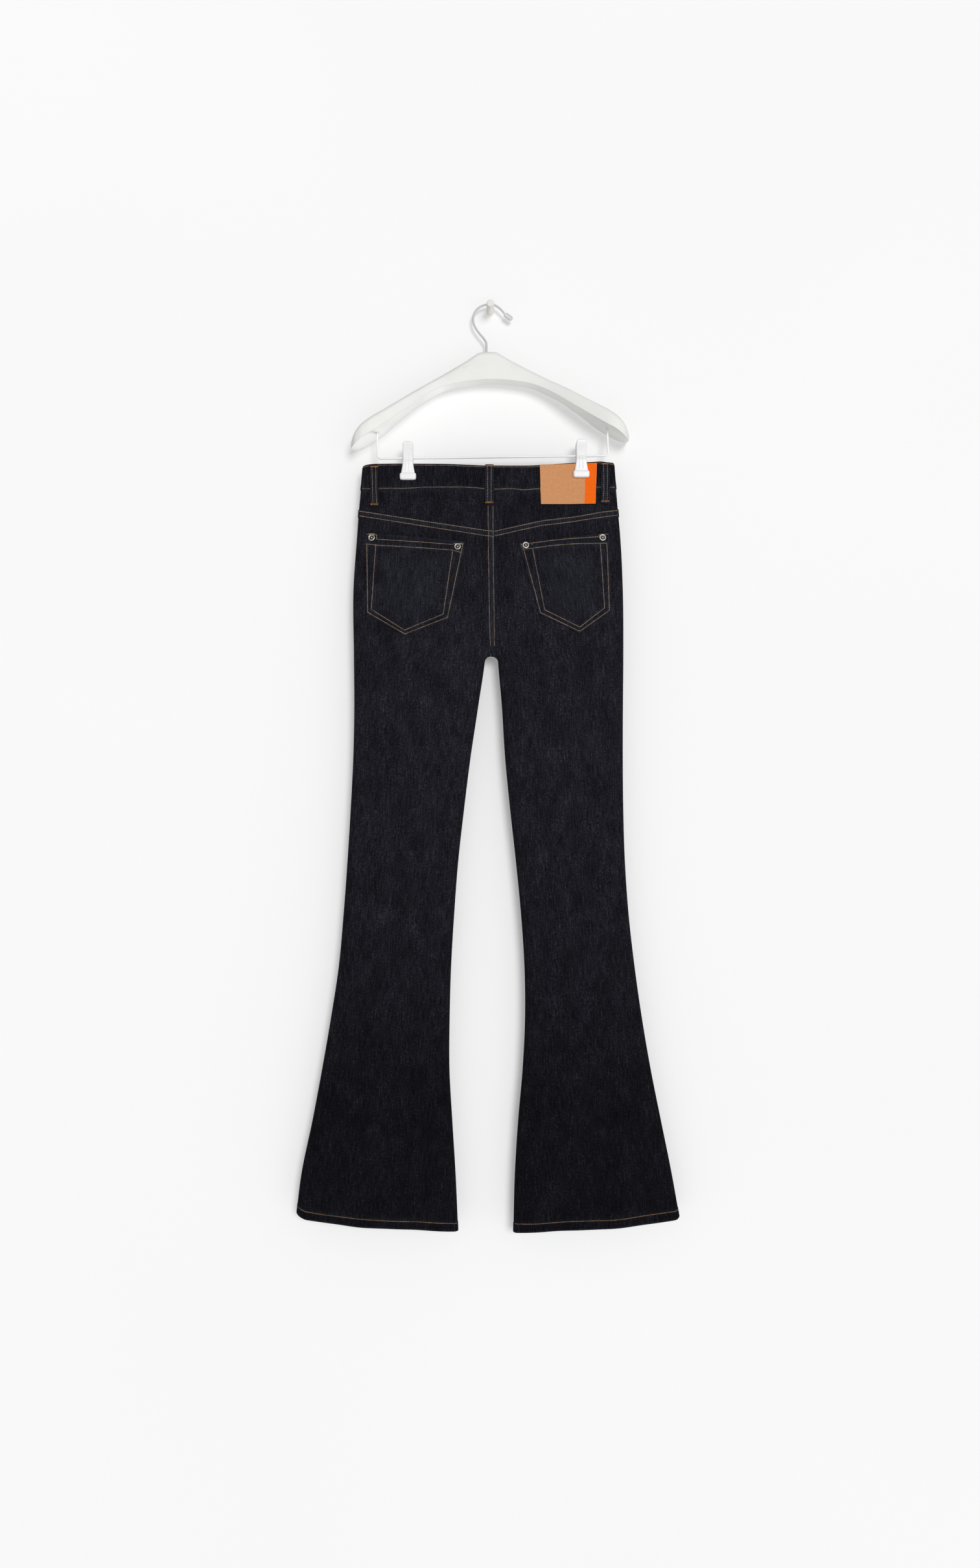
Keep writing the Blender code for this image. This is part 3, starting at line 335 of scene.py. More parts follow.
def resample(path: Array, pitch: float) -> Array:
    """Points at an even pitch along a path.

    Args:
        path: points of the path, one row each.
        pitch: wanted distance between points.

    Returns:
        Evenly spaced points from the path's start to its end.
    """
    lengths = run_along(path)
    count = max(2, round(lengths[-1] / pitch) + 1)
    at = np.linspace(0.0, lengths[-1], count)
    return np.stack([np.interp(at, lengths, column) for column in path.T], axis=1)


@dataclass(frozen=True)
class GarmentForm:
    """The hung cloth as a surface over x and drop, on the same sizes as the solids."""

    waist_below_peg: float = 239.0
    middle_y: float = -30.0
    centre_x: float = 0.8
    seam_gap: float = 0.3
    crotch: float = 276.5
    crotch_round: float = 14.0
    arch_height: float = 8.0
    seat_ease: float = 110.0
    waist_ease: float = 110.0
    bulge_power: float = 0.75
    centre_top: float = -2.0
    centre_band: float = 35.5
    centre_yoke: float = 99.8
    pinch: float = 3.2
    jaw_clear: float = 13.0
    waist_open: float = 9.0
    front_fullness: float = 0.8
    crease_sway: float = 0.35
    crease_waves: float = 7.0
    crease_fade: float = 0.8
    ripple_drift: float = 1.3
    ripple_beat: float = 3.7
    normal_step: float = 0.5

    def section(self, column: str, drop: Number) -> Number:
        """One column of the section table at any drop."""
        return follow(tuple((row.drop, getattr(row, column)) for row in SECTIONS), drop)

    def outer_x(self, leg: Leg, drop: Number) -> Number:
        """The silhouette at the side of the leg."""
        return self.section(leg.word + "_out", drop)

    def inner_x(self, leg: Leg, drop: Number) -> Number:
        """The centre seam above the crotch, and the inside of the leg below it.

        Args:
            leg: which leg.
            drop: how far down.

        Returns:
            World x of the edge.
        """
        centre = self.centre_x + leg * self.seam_gap / 2
        below = np.clip((drop - self.crotch) / self.arch_height, 0.0, 1.0)
        opened = np.sqrt(1 - (1 - below) ** 2)
        return centre + (self.section(leg.word + "_in", drop) - centre) * opened

    def waist_room(self, x: Array) -> Array:
        """Half depth of the waistband, pinched flat at each clip and open between them.

        Args:
            x: places across.

        Returns:
            Distance off the middle plane.
        """
        left, right = CLIP_X
        half_span = (right - left) / 2 - self.jaw_clear
        between = np.clip(np.abs(x - (left + right) / 2) / half_span, 0.0, 1.0)
        return self.pinch + self.waist_open * np.cos(between * math.pi / 2) ** 2

    def folds(self, x: Array, drop: Array, leg: Leg, face: Face) -> Array:
        """Sum of the flutes that cross each point.

        Args:
            x: places across.
            drop: their drops.
            leg: the leg they lie on.
            face: the face they lie on.

        Returns:
            Height off the leg's round form.
        """
        relief = np.zeros(np.broadcast(x, drop).shape)
        for fold in FOLDS:
            if (fold.leg, fold.face) == (leg, face):
                along = (drop - fold.top) / (fold.end - fold.top)
                axis = fold.top_x + (fold.end_x - fold.top_x) * along
                relief = relief + fold.height * smoothstep(along) * bump_at(x - axis, fold.width)
        return relief

    def creases(self, x: Array, drop: Array, face: Face) -> Array:
        """Sum of the creases and seam puckers at each point.

        Args:
            x: places across.
            drop: their drops.
            face: the face they lie on.

        Returns:
            Height off the smooth cloth.
        """
        relief = np.zeros(np.broadcast(x, drop).shape)
        for crease in CREASES[face]:
            run = np.array([crease.end_x - crease.x, crease.end_drop - crease.drop], dtype=float)
            length = float(np.hypot(*run))
            run /= length
            along = ((x - crease.x) * run[0] + (drop - crease.drop) * run[1]) / length
            across = (x - crease.x) * run[1] - (drop - crease.drop) * run[0]
            sway = np.sin(along * self.crease_waves + crease.x)
            across = across + crease.width * self.crease_sway * sway
            faded = np.sin(np.clip(along, 0.0, 1.0) * math.pi) ** self.crease_fade
            relief = relief + crease.height * faded * bump_at(across, crease.width)
        for pucker in PUCKERS[face]:
            away, along = nearest_on_path(x, drop, pucker.path)
            phase = along * math.tau / pucker.wave
            ripple = np.sin(phase + self.ripple_drift * np.sin(phase / self.ripple_beat))
            relief = relief + pucker.height * (ripple * bump_at(away, pucker.reach))
        return relief

    @staticmethod
    def round_side(distance: Array, radius: Number) -> Array:
        """Height of a quarter round at a distance in from the edge."""
        near = np.minimum(distance, radius)
        return np.sqrt(np.maximum(2 * radius * near - near * near, 0.0))

    def half_depth(self, x: Array, drop: Array, leg: Leg, face: Face) -> Array:
        """Distance of the cloth's outside from the middle plane, with all its relief.

        Args:
            x: places across.
            drop: their drops.
            leg: the leg they lie on.
            face: the face they lie on.

        Returns:
            Half depth at each point.
        """
        from_outer = np.abs(x - self.outer_x(leg, drop))
        from_inner = np.abs(self.inner_x(leg, drop) - x)
        share = from_outer / (from_outer + from_inner)
        radius = self.section("side_radius", drop)
        fullness = 1.0 if face == Face.BACK else self.front_fullness
        room = (self.section("depth", drop) - radius) * fullness
        above = np.maximum(self.crotch - drop, 0.0)
        closed = 1 - np.sqrt(1 - (1 - np.minimum(above / self.crotch_round, 1.0)) ** 2)
        leg_share = 1 - smoothstep(above / self.seat_ease)
        outer_side = self.round_side(from_outer, radius)
        inner_side = (1 - closed) + closed * self.round_side(from_inner, radius) / radius
        bulge = (1 - leg_share) * share * (2 - share) + leg_share * 4 * share * (1 - share)
        bulge = np.maximum(bulge, 0.0) ** self.bulge_power
        fade = outer_side * inner_side / radius
        body = outer_side * inner_side + room * bulge + self.folds(x, drop, leg, face) * fade
        waist_share = 1 - smoothstep((drop - self.centre_band - 1.0) / self.waist_ease)
        waist = self.waist_room(x) * self.round_side(from_outer, self.pinch) / self.pinch
        return body + (waist - body) * waist_share + self.creases(x, drop, face) * fade

    def to_world(self, x: Array, depth: Array, drop: Array, face: Face) -> Array:
        """Garment coordinates to world millimetres."""
        x, depth, drop = np.broadcast_arrays(x, depth, drop)
        y = self.middle_y + face * depth
        return np.stack([x, y, -self.waist_below_peg - drop], axis=-1)

    def normal(self, x: Array, drop: Array, leg: Leg, face: Face) -> Array:
        """Outward direction of the cloth at points away from its edges.

        Args:
            x: places across.
            drop: their drops.
            leg: the leg they lie on.
            face: the face they lie on.

        Returns:
            Unit normals.
        """
        step = self.normal_step
        across = self.half_depth(x + step, drop, leg, face) - self.half_depth(x - step, drop, leg, face)
        along = self.half_depth(x, drop + step, leg, face) - self.half_depth(x, drop - step, leg, face)
        out = np.full(np.broadcast(x, drop).shape, 2.0 * step * face)
        normal = np.stack([-across + 0 * out, out, along + 0 * out], axis=-1)
        return normal / np.linalg.norm(normal, axis=-1, keepdims=True)

    def lifted(self, x: Number, drop: Number, lift: Number, face: Face) -> tuple[Array, Array]:
        """Points that lie off the cloth.

        Args:
            x: places across.
            drop: their drops.
            lift: how far off it they lie.
            face: the face they lie on.

        Returns:
            The points and the normals under them.
        """
        x, drop, lift = np.broadcast_arrays(x, drop, lift)
        point = np.zeros(x.shape + (3,))
        normal = np.zeros_like(point)
        for leg in Leg:
            own = (x < self.centre_x) == (leg == Leg.LEFT)
            if own.any():
                xs, drops = x[own], drop[own]
                normal[own] = self.normal(xs, drops, leg, face)
                depth = self.half_depth(xs, drops, leg, face)
                point[own] = self.to_world(xs, depth, drops, face)
        return point + normal * lift[..., None], normal

    def waist_line(self, x: Array, column: str) -> Array:
        """Drop of the waistband's top or lower edge at x.

        Args:
            x: places across.
            column: "top" or "band", the edge that is meant.

        Returns:
            The drops.
        """
        centre = {"top": self.centre_top, "band": self.centre_band}[column]
        rows = [(float(self.outer_x(leg, 0.0)), getattr(LINES[leg], column)) for leg in Leg]
        drops = straight((*rows, (self.centre_x, centre)), x)
        if column == "band":
            return drops
        return drops + follow(TOP_WAVE, np.clip(x, TOP_WAVE[0][0], TOP_WAVE[-1][0]))


def grid_faces(rows: int, columns: int, closed: bool = False) -> Array:
    """Quads of a grid of vertices.

    Args:
        rows: vertices down the grid.
        columns: vertices across it.
        closed: whether the last column joins the first.

    Returns:
        One row of four vertex numbers for each face.
    """
    across = np.arange(columns if closed else columns - 1)
    row, column = np.meshgrid(np.arange(rows - 1), across, indexing="ij")
    here = row * columns + column
    side = row * columns + (column + 1) % columns
    return np.stack([here, side, side + columns, here + columns], axis=-1).reshape(-1, 4)


def tube_faces(rings: int, sides: int) -> list[tuple[int, ...]]:
    """Faces of a tube through rings of points, with both ends filled."""
    ends = (tuple(range(sides))[::-1], tuple(range((rings - 1) * sides, rings * sides)))
    return [*map(tuple, grid_faces(rings, sides, closed=True)), *ends]


def grid_rim(rows: int, columns: int) -> Array:
    """Vertex numbers round the edge of a grid, in order."""
    grid = np.arange(rows * columns).reshape(rows, columns)
    return np.concatenate([grid[0], grid[1:, -1], grid[-1, -2::-1], grid[-2:0:-1, 0]])


def add_object(name: str, data: ID) -> Object:
    """New object in the scene."""
    thing = bpy.data.objects.new(name, data)
    bpy.context.scene.collection.objects.link(thing)
    return thing


class PieceMesh:
    """Collects the skins of one piece and makes its mesh."""

    rim_angles = (math.pi / 4, math.pi / 2, 3 * math.pi / 4)

    def __init__(self, name: str) -> None:
        """Start an empty piece."""
        self.name = name
        self.points: list[Array] = []
        self.cloth: list[Array] = []
        self.wear: list[Array] = []
        self.faces: list[tuple[int, ...]] = []
        self.finish: list[int] = []
        self.count = 0

    def add_faces(self, faces: list | Array, finish: int, start: int) -> None:
        """Add faces whose vertices are counted from start."""
        self.faces += [tuple(int(v) + start for v in face) for face in faces]
        self.finish += [finish] * len(faces)

    def add_skin(
        self, points: Array, faces: list | Array, finish: int = 0,
        cloth: Array | None = None, wear: Array | None = None,
    ) -> None:
        """Add vertices and the faces between them.

        Args:
            points: world millimetres, one row each.
            faces: vertex numbers of each face, counted within these points.
            finish: which of the piece's materials they take.
            cloth: place of each vertex on the flat cloth, in metres.
            wear: how rubbed each vertex is, from 0 to 1.
        """
        size = len(points)
        self.add_faces(faces, finish, self.count)
        self.points.append(points)
        self.cloth.append(np.zeros((size, 2)) if cloth is None else cloth)
        self.wear.append(np.zeros(size) if wear is None else wear)
        self.count += size

    def add_wall(
        self, outside: Array, inside: Array, cloth: Array | None = None,
        wear: Array | None = None, rounded: Number = 0.0,
        finishes: tuple[int, int] = (0, 0), columns_finish: Array | None = None,
    ) -> None:
        """Add a closed wall between two grids of points.

        Args:
            outside: rows x columns x 3 in world millimetres.
            inside: the grid behind it.
            cloth: place on the flat cloth of each point, in metres.
            wear: how rubbed each point is.
            rounded: how far the rim bulges out, as a share of half the wall.
            finishes: materials of the outside with its rim, and of the inside.
            columns_finish: a material for each column of faces, where they differ.
        """
        rows, columns = outside.shape[:2]
        size = rows * columns
        rim = grid_rim(rows, columns)
        ring = len(rim)
        further_in = np.ix_(
            np.clip(np.arange(rows), 1, rows - 2), np.clip(np.arange(columns), 1, columns - 2))
        out = (outside - outside[further_in]).reshape(-1, 3)[rim]
        out /= np.maximum(np.linalg.norm(out, axis=1, keepdims=True), TINY)
        front, back = outside.reshape(-1, 3), inside.reshape(-1, 3)
        middle, half = (front[rim] + back[rim]) / 2, (front[rim] - back[rim]) / 2
        swell = np.broadcast_to(np.asarray(rounded, dtype=float), (rows, columns)).reshape(-1)[rim]
        bulge = out * np.linalg.norm(half, axis=1, keepdims=True) * swell[:, None]
        angles = self.rim_angles if swell.any() else ()
        loops = [middle + half * math.cos(a) + bulge * math.sin(a) for a in angles]
        flat = np.zeros((size, 2)) if cloth is None else cloth.reshape(-1, 2)
        rubbed = np.zeros(size) if wear is None else wear.reshape(-1)
        source = np.concatenate([np.arange(size)] * 2 + [rim] * len(loops))
        levels = [rim, *(2 * size + k * ring + np.arange(ring) for k in range(len(loops)))]
        start = self.count
        quads = grid_faces(rows, columns)
        points = np.concatenate([front, back, *loops])
        self.add_skin(points, quads, finishes[0], flat[source], rubbed[source])
        if columns_finish is not None:
            self.finish[-len(quads):] = np.tile(columns_finish, rows - 1).tolist()
        self.add_faces(quads[:, ::-1] + size, finishes[1], start)
        for above, below in zip(levels, [*levels[1:], rim + size]):
            band = np.stack([above, below, np.roll(below, -1), np.roll(above, -1)], axis=1)
            self.add_faces(band, finishes[0], start)

    def add_tube(self, rings: Array, wear: Array | None = None) -> None:
        """Add a tube through rings x points x 3, with its ends filled."""
        self.add_skin(rings.reshape(-1, 3), tube_faces(*rings.shape[:2]), wear=wear)

    def build(self, finishes: list[Material], slot: str = "", sharp: float = 55.0) -> Object:
        """Make the piece, turn its faces outwards and let it ride on the body.

        Args:
            finishes: the piece's materials, in the order its skins name them.
            slot: a name given to a piece that stands for the solid of its name; any name hides that
                solid, and the name itself is not used further.
            sharp: edges that turn by more than this many degrees stay crisp.

        Returns:
            The new object.
        """
        mesh = bpy.data.meshes.new(self.name)
        points = np.concatenate(self.points) * MM
        mesh.from_pydata(points.tolist(), [], self.faces)
        mesh.polygons.foreach_set("material_index", np.array(self.finish, dtype=np.int32))
        rubbed = mesh.attributes.new("wear", "FLOAT", "POINT")
        rubbed.data.foreach_set("value", np.concatenate(self.wear).astype(np.float32))
        work = bmesh.new()
        work.from_mesh(mesh)
        bmesh.ops.recalc_face_normals(work, faces=work.faces)
        work.to_mesh(mesh)
        work.free()
        corners = np.empty(len(mesh.loops), dtype=np.int32)
        mesh.loops.foreach_get("vertex_index", corners)
        flat = mesh.uv_layers.new(name="cloth")
        flat.data.foreach_set("uv", np.concatenate(self.cloth)[corners].ravel().astype(np.float32))
        for material in finishes:
            mesh.materials.append(material)
        mesh.shade_smooth()
        mesh.set_sharp_from_angle(angle=math.radians(sharp))
        thing = add_object(self.name, mesh)
        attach(thing, BODY)
        if slot:
            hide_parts(self.name)
        LOG.info("%s: %d faces", self.name, len(self.faces))
        return thing


def grid_steps(grid: Array) -> tuple[Array, Array]:
    """Steps across and down a grid of points."""
    return np.diff(grid, axis=1), np.diff(grid, axis=0)


def cut_size(outside: Array) -> tuple[tuple[float, float], float]:
    """Width and length of a sheet's flat cut, and its area, in metres and square metres.

    Args:
        outside: grid of points in millimetres.

    Returns:
        The two sizes as a pair, and the area.
    """
    across, down = grid_steps(outside)
    width = np.linalg.norm(across, axis=-1).sum(axis=1).max() * MM
    length = np.linalg.norm(down, axis=-1).sum(axis=0).max() * MM
    area = np.linalg.norm(np.cross(across[:-1], down[:, :-1]), axis=-1).sum() * MM * MM
    return (float(width), float(length)), float(min(area, width * length))


def cloth_places(outside: Array, origin: tuple[float, float] = (0.0, 0.0)) -> Array:
    """Place of each grid point on the flat cloth, in metres from an origin in millimetres.

    Args:
        outside: grid of points in millimetres.
        origin: what is added to every place, so that pieces don't match.

    Returns:
        Rows x columns x 2.
    """
    across = np.linalg.norm(grid_steps(outside)[0], axis=-1)
    run = np.concatenate([np.zeros((len(outside), 1)), np.cumsum(across, axis=1)], axis=1)
    middle = run - run[:, run.shape[1] // 2][:, None]
    return np.stack([middle + origin[0], -outside[..., 2] + origin[1]], axis=-1) * MM


def grid_normals(points: Array, face: Face) -> Array:
    """Outward normals of a grid of points.

    Args:
        points: rows x columns x 3.
        face: the side of the garment that they face.

    Returns:
        Unit normals.
    """
    normal = np.cross(np.gradient(points, axis=0), np.gradient(points, axis=1))
    if normal[..., 1].mean() * face < 0:
        normal = -normal
    return normal / np.linalg.norm(normal, axis=-1, keepdims=True)


def lay_flat(normals: Array, rows: Array | slice, column: int, axis: int) -> None:
    """Turn the normals along a seam into the seam's own plane."""
    normals[rows, column, axis] = 0.0
    length = np.linalg.norm(normals[rows, column], axis=-1, keepdims=True)
    normals[rows, column] /= np.maximum(length, TINY)


@dataclass(frozen=True)
class Thread:
    """Sewing thread as it lies on the cloth: stitches that dip at both ends.

    Each row of the profile is a place along the stitch, its height as a share of the crown,
    and its thickness as a share of the radius.
    """

    pitch: float = 2.85
    share: float = 0.95
    radius: float = 0.5
    crown: float = 0.3
    slant: float = 0.06
    sides: int = 6
    flatness: float = 0.8
    profile: Profile = (
        (0.0, -0.6, 0.5), (0.16, 0.4, 0.94), (0.5, 1.0, 1.0), (0.84, 0.4, 0.94), (1.0, -0.6, 0.5))


TOPSTITCH = Thread()
TACKING = Thread(pitch=0.55, share=1.0, radius=0.42, crown=0.5, slant=0.0)
EDGE_STITCH = Thread(pitch=2.45, radius=0.38, crown=0.2)
BAND_STITCH = Thread(pitch=2.45, radius=0.37, crown=0.22)
MOUTH_STITCH = Thread(pitch=2.6, radius=0.45, crown=0.25)
LOOP_STITCH = Thread(pitch=2.7, share=0.66, radius=0.46, crown=0.25)


class Sewing(PieceMesh):
    """Stitches on one face of the cloth."""

    tack_lean = 0.3
    tack_ragged = 0.12
    tack_beat = 2.3

    def __init__(self, name: str, form: GarmentForm, face: Face = Face.BACK) -> None:
        """Start an empty piece of sewing."""
        super().__init__(name)
        self.form = form
        self.face = face

    def row(self, thread: Thread, x: Number, drop: Number, lift: Number = 0.0) -> None:
        """Sew a row of stitches along a path that is dense enough to follow the cloth."""
        path = np.stack(np.broadcast_arrays(x, drop, lift), axis=1).astype(float)
        places = resample(path, thread.pitch)
        self.lay(thread, places[:-1], places[1:])

    def tack(self, x: float, drop: float, length: float, width: float, lift: float) -> None:
        """Sew a dense bar of zigzag stitches.

        Args:
            x: the bar's middle.
            drop: the bar's middle.
            length: the bar's length.
            width: how far each stitch reaches across it.
            lift: height of the cloth's face off the form.
        """
        count = max(4, round(length / TACKING.pitch))
        order = np.arange(count)
        at = x + np.linspace(-length / 2, length / 2, count)
        lean = self.tack_lean * np.where(order % 2, 1.0, -1.0)
        ragged = self.tack_ragged * width * np.sin(order * self.tack_beat)
        starts, ends = (
            np.column_stack([at + side * lean, drop + side * width / 2 + ragged, np.full(count, lift)])
            for side in (-1, 1))
        self.lay(TACKING, starts, ends)

    def lay(self, thread: Thread, starts: Array, ends: Array) -> None:
        """Lay stitches between pairs of points.

        Args:
            thread: what they are sewn with.
            starts: x, drop and lift where each stitch comes up.
            ends: x, drop and lift where each goes down.
        """
        gap = (ends - starts) * ((1 - thread.share) / 2)
        tilt = thread.slant * (ends - starts)[:, [1, 0, 2]] * np.array([1.0, -1.0, 0.0])
        head, up_head = self.form.lifted(*(starts + gap - tilt).T, self.face)
        tail, up_tail = self.form.lifted(*(ends - gap + tilt).T, self.face)
        up = up_head + up_tail
        up /= np.linalg.norm(up, axis=1, keepdims=True)
        along = tail - head
        along /= np.maximum(np.linalg.norm(along, axis=1, keepdims=True), TINY)
        side = np.cross(along, up)
        shares, heights, radii = np.array(thread.profile).T
        angles = np.linspace(0, math.tau, thread.sides, endpoint=False)
        centre = head[:, None] + (tail - head)[:, None] * shares[None, :, None]
        centre = centre + up[:, None] * (heights * thread.crown)[None, :, None]
        ring = side[:, None, None] * np.cos(angles)[None, None, :, None]
        ring = ring + up[:, None, None] * np.sin(angles)[None, None, :, None] * thread.flatness
        points = centre[:, :, None] + ring * (radii * thread.radius)[None, :, None, None]
        count, levels, sides = points.shape[:3]
        *quads, first, last = tube_faces(levels, sides)
        offsets = range(0, count * levels * sides, levels * sides)
        faces = [tuple(v + start for v in quad) for start in offsets for quad in quads]
        faces += [tuple(v + start for v in end) for start in offsets for end in (first, last)]
        self.add_skin(points.reshape(-1, 3), faces)


def linear(code: str) -> tuple[float, float, float, float]:
    """Linear colour of an sRGB hex value."""
    channels = [int(code[i:i + 2], 16) / 255 for i in (0, 2, 4)]
    low = [c / 12.92 if c <= 0.04045 else ((c + 0.055) / 1.055) ** 2.4 for c in channels]
    return (*low, 1.0)


def connect(node: Node, sockets: dict) -> None:
    """Set or link a node's inputs; a node given as a value stands for its first output.

    Args:
        node: the node that takes them.
        sockets: a value, a node or an output for each input.
    """
    for key, value in sockets.items():
        value = value.outputs[0] if isinstance(value, Node) else value
        if isinstance(value, NodeSocket):
            node.id_data.links.new(value, node.inputs[key])
        else:
            node.inputs[key].default_value = value


class Recipe:
    """A new material, or a world, and its node tree."""

    def __init__(self, name: str, kind: str = "materials") -> None:
        """Start the material or the world."""
        self.made = getattr(bpy.data, kind).new(name)
        self.made.use_nodes = True
        self.tree = self.made.node_tree

    def add(self, kind: str, sockets: dict | None = None, **settings: object) -> Node:
        """Add a node with its settings and links.

        Args:
            kind: the node's type, without the words that all types start with.
            sockets: a value, a node or an output for each named or numbered input.
            settings: properties of the node, or a ramp's stops as places and hex colours.

        Returns:
            The new node.
        """
        node = self.tree.nodes.new("ShaderNode" + kind)
        stops = settings.pop("stops", ())
        for _ in stops[2:]:
            node.color_ramp.elements.new(0.5)
        for order, (place, code) in enumerate(stops):
            element = node.color_ramp.elements[order]
            element.position, element.color = place, linear(code)
        for name, value in settings.items():
            setattr(node, name, value)
        connect(node, sockets or {})
        return node

    def finish(self, sockets: dict) -> Material:
        """Give the shader its inputs and hand over the material."""
        connect(self.tree.nodes["Principled BSDF"], sockets)
        return self.made


def per_mm(*sizes: float) -> tuple[float, ...]:
    """Pattern scales from real sizes in millimetres."""
    return tuple(1 / (size * MM) for size in sizes)


@dataclass(frozen=True)
class RingSpunDenim:
    """Raw 3x1 twill denim: near-black indigo warp, with a grey-blue weft that glints in flecks.

    Unwashed cotton is matt and fuzzy, so it has hardly any gloss. The eye gets a fine, even
    grain with faint upright slubs, and broad bluish clouds where the cloth has been handled.
    """

    name: str = "ring_spun_raw_denim"
    tones: tuple[tuple[float, str], ...] = (
        (0.0, "08070B"), (0.25, "121116"), (0.5, "1C1B21"), (0.75, "2A2A31"), (1.0, "41434B"))
    rubbed: str = "313740"
    # Yarns are 0.4 mm apart; the grain that they make is drawn at 1.9 mm so that it shows.
    grain_mm: float = 1.9
    grain_depth: float = 1.0
    slub_mm: tuple[float, float] = (1.7, 21.0)
    slub_depth: float = 0.8
    cloud_mm: tuple[float, float] = (20.0, 46.0)
    cloud_depth: float = 0.5
    # The real twill line is 0.6 mm apart; it is drawn at 1.5 mm for the same reason.
    twill_mm: float = 1.5
    # Painted shade by height, darkest on the flares and a little under the band: share of the way up,
    # and what is left.
    bottom_m: float = -1.36
    top_m: float = -0.24
    depths: tuple[tuple[float, str], ...] = (
        (0.0, "B4B4B7"), (0.17, "B4B4B7"), (0.29, "D4D4D6"), (0.42, "EAEAEB"), (0.64, "F9F9FA"),
        (0.80, "FFFFFF"), (0.90, "F4F4F5"), (1.0, "E0E0E2"))

    def build(self) -> Material:
        """Make the material."""
        recipe = Recipe(self.name)
        add = recipe.add
        solid = add("TexCoord").outputs["Object"]
        cloth = add("UVMap", uv_map="cloth")
        grain = add("TexNoise", {"Vector": solid, "Scale": per_mm(self.grain_mm)[0], "Detail": 1.0})
        slub_at = add("Mapping", {"Vector": cloth, "Scale": (*per_mm(*self.slub_mm), 1.0)})
        slub = add("TexNoise", {"Vector": slub_at, "Scale": 1.0, "Detail": 1.5})
        wide, tall = per_mm(*self.cloud_mm)
        cloud_at = add("Mapping", {"Vector": solid, "Scale": (wide, wide, tall)})
        cloud = add("TexNoise", {"Vector": cloud_at, "Scale": 1.0, "Detail": 3.0})
        tone: Node | float = 0.5 - 0.5 * (self.grain_depth + self.slub_depth + self.cloud_depth)
        for noise, depth in (
            (grain, self.grain_depth), (slub, self.slub_depth), (cloud, self.cloud_depth)
        ):
            tone = add("Math", {0: noise, 1: depth, 2: tone}, operation="MULTIPLY_ADD")
        dyed = add("ValToRGB", {0: tone}, stops=self.tones)
        # Painted shade: the cloth is darkened by height, most on the flares and less under the band.
        height = add("SeparateXYZ", {0: solid}).outputs["Z"]
        level = add("MapRange", {"Value": height, "From Min": self.bottom_m, "From Max": self.top_m})
        left = add("ValToRGB", {0: level}, stops=self.depths)
        shaded_by_height = add(
            "Mix", {"Factor": 1.0, 6: dyed, 7: left}, data_type="RGBA", blend_type="MULTIPLY")
        wear = add("Attribute", attribute_name="wear").outputs["Fac"]
        patchy = add("MapRange", {
            "Value": slub, "From Min": 0.3, "From Max": 0.75, "To Min": 0.1, "To Max": 0.9})
        worn = add("Math", {0: wear, 1: patchy}, operation="MULTIPLY")
        colour = add(
            "Mix", {"Factor": worn, 6: shaded_by_height.outputs[2], 7: linear(self.rubbed)}, data_type="RGBA")
        twill_at = add("Mapping", {"Vector": cloth, "Scale": (1.0, 0.55, 1.0)})
        twill = add("TexWave", {
            "Vector": twill_at, "Scale": math.pi / 5 / (self.twill_mm * MM),
            "Distortion": 2.2, "Detail": 1.5, "Detail Scale": 0.6}, bands_direction="DIAGONAL")
        relief = add("Math", {0: twill, 1: 0.4, 2: tone}, operation="MULTIPLY_ADD")
        return recipe.finish({
            "Base Color": colour.outputs[2],
            "Normal": add("Bump", {"Height": relief, "Strength": 0.5, "Distance": 0.00025}),
            "Roughness": 0.92, "Specular IOR Level": 0.04, "Sheen Weight": 0.02,
            "Sheen Roughness": 0.45, "Sheen Tint": linear("AEB8C8")})


@dataclass(frozen=True)
class DenimReverse:
    """Back of the same twill: the undyed weft is on top, so it is a chalky blue-grey."""

    name: str = "ring_spun_denim_reverse"
    weft: str = "737C88"
    warp: str = "3A4250"
    twill_mm: float = 1.5

    def build(self) -> Material:
        """Make the material."""
        recipe = Recipe(self.name)
        add = recipe.add
        cloth = add("UVMap", uv_map="cloth")
        at = add("Mapping", {"Vector": cloth, "Scale": (-1.0, 0.55, 1.0)})
        twill = add("TexWave", {
            "Vector": at, "Scale": math.pi / 5 / (self.twill_mm * MM),
            "Distortion": 1.6, "Detail": 1.0}, bands_direction="DIAGONAL")
        slub = add("TexNoise", {"Vector": cloth, "Scale": 420.0, "Detail": 3.0})
        mixed = add("Math", {0: twill, 1: 0.35, 2: slub}, operation="MULTIPLY_ADD")
        return recipe.finish({
            "Base Color": add("ValToRGB", {0: mixed}, stops=((0.35, self.warp), (0.85, self.weft))),
            "Normal": add("Bump", {"Height": mixed, "Strength": 0.5, "Distance": 0.0003}),
            "Roughness": 0.95, "Specular IOR Level": 0.1})


@dataclass(frozen=True)
class CoreSpunThread:
    """Polyester core wrapped in cotton: a soft, slightly lustrous cord that soils unevenly."""

    name: str
    dark: str
    light: str
    # The ply is 0.25 mm; it is drawn at 0.5 mm.
    ply_mm: float = 0.5

    def build(self) -> Material:
        """Make the material."""
        recipe = Recipe(self.name)
        add = recipe.add
        place = add("TexCoord").outputs["Object"]
        soil = add("TexNoise", {"Vector": place, "Scale": 160.0, "Detail": 3.0})
        ply = add("TexNoise", {"Vector": place, "Scale": per_mm(self.ply_mm)[0]})
        return recipe.finish({
            "Base Color": add("ValToRGB", {0: soil}, stops=((0.34, self.dark), (0.62, self.light))),
            "Normal": add("Bump", {"Height": ply, "Strength": 0.4, "Distance": 0.0002}),
            "Roughness": 0.62, "Specular IOR Level": 0.25})


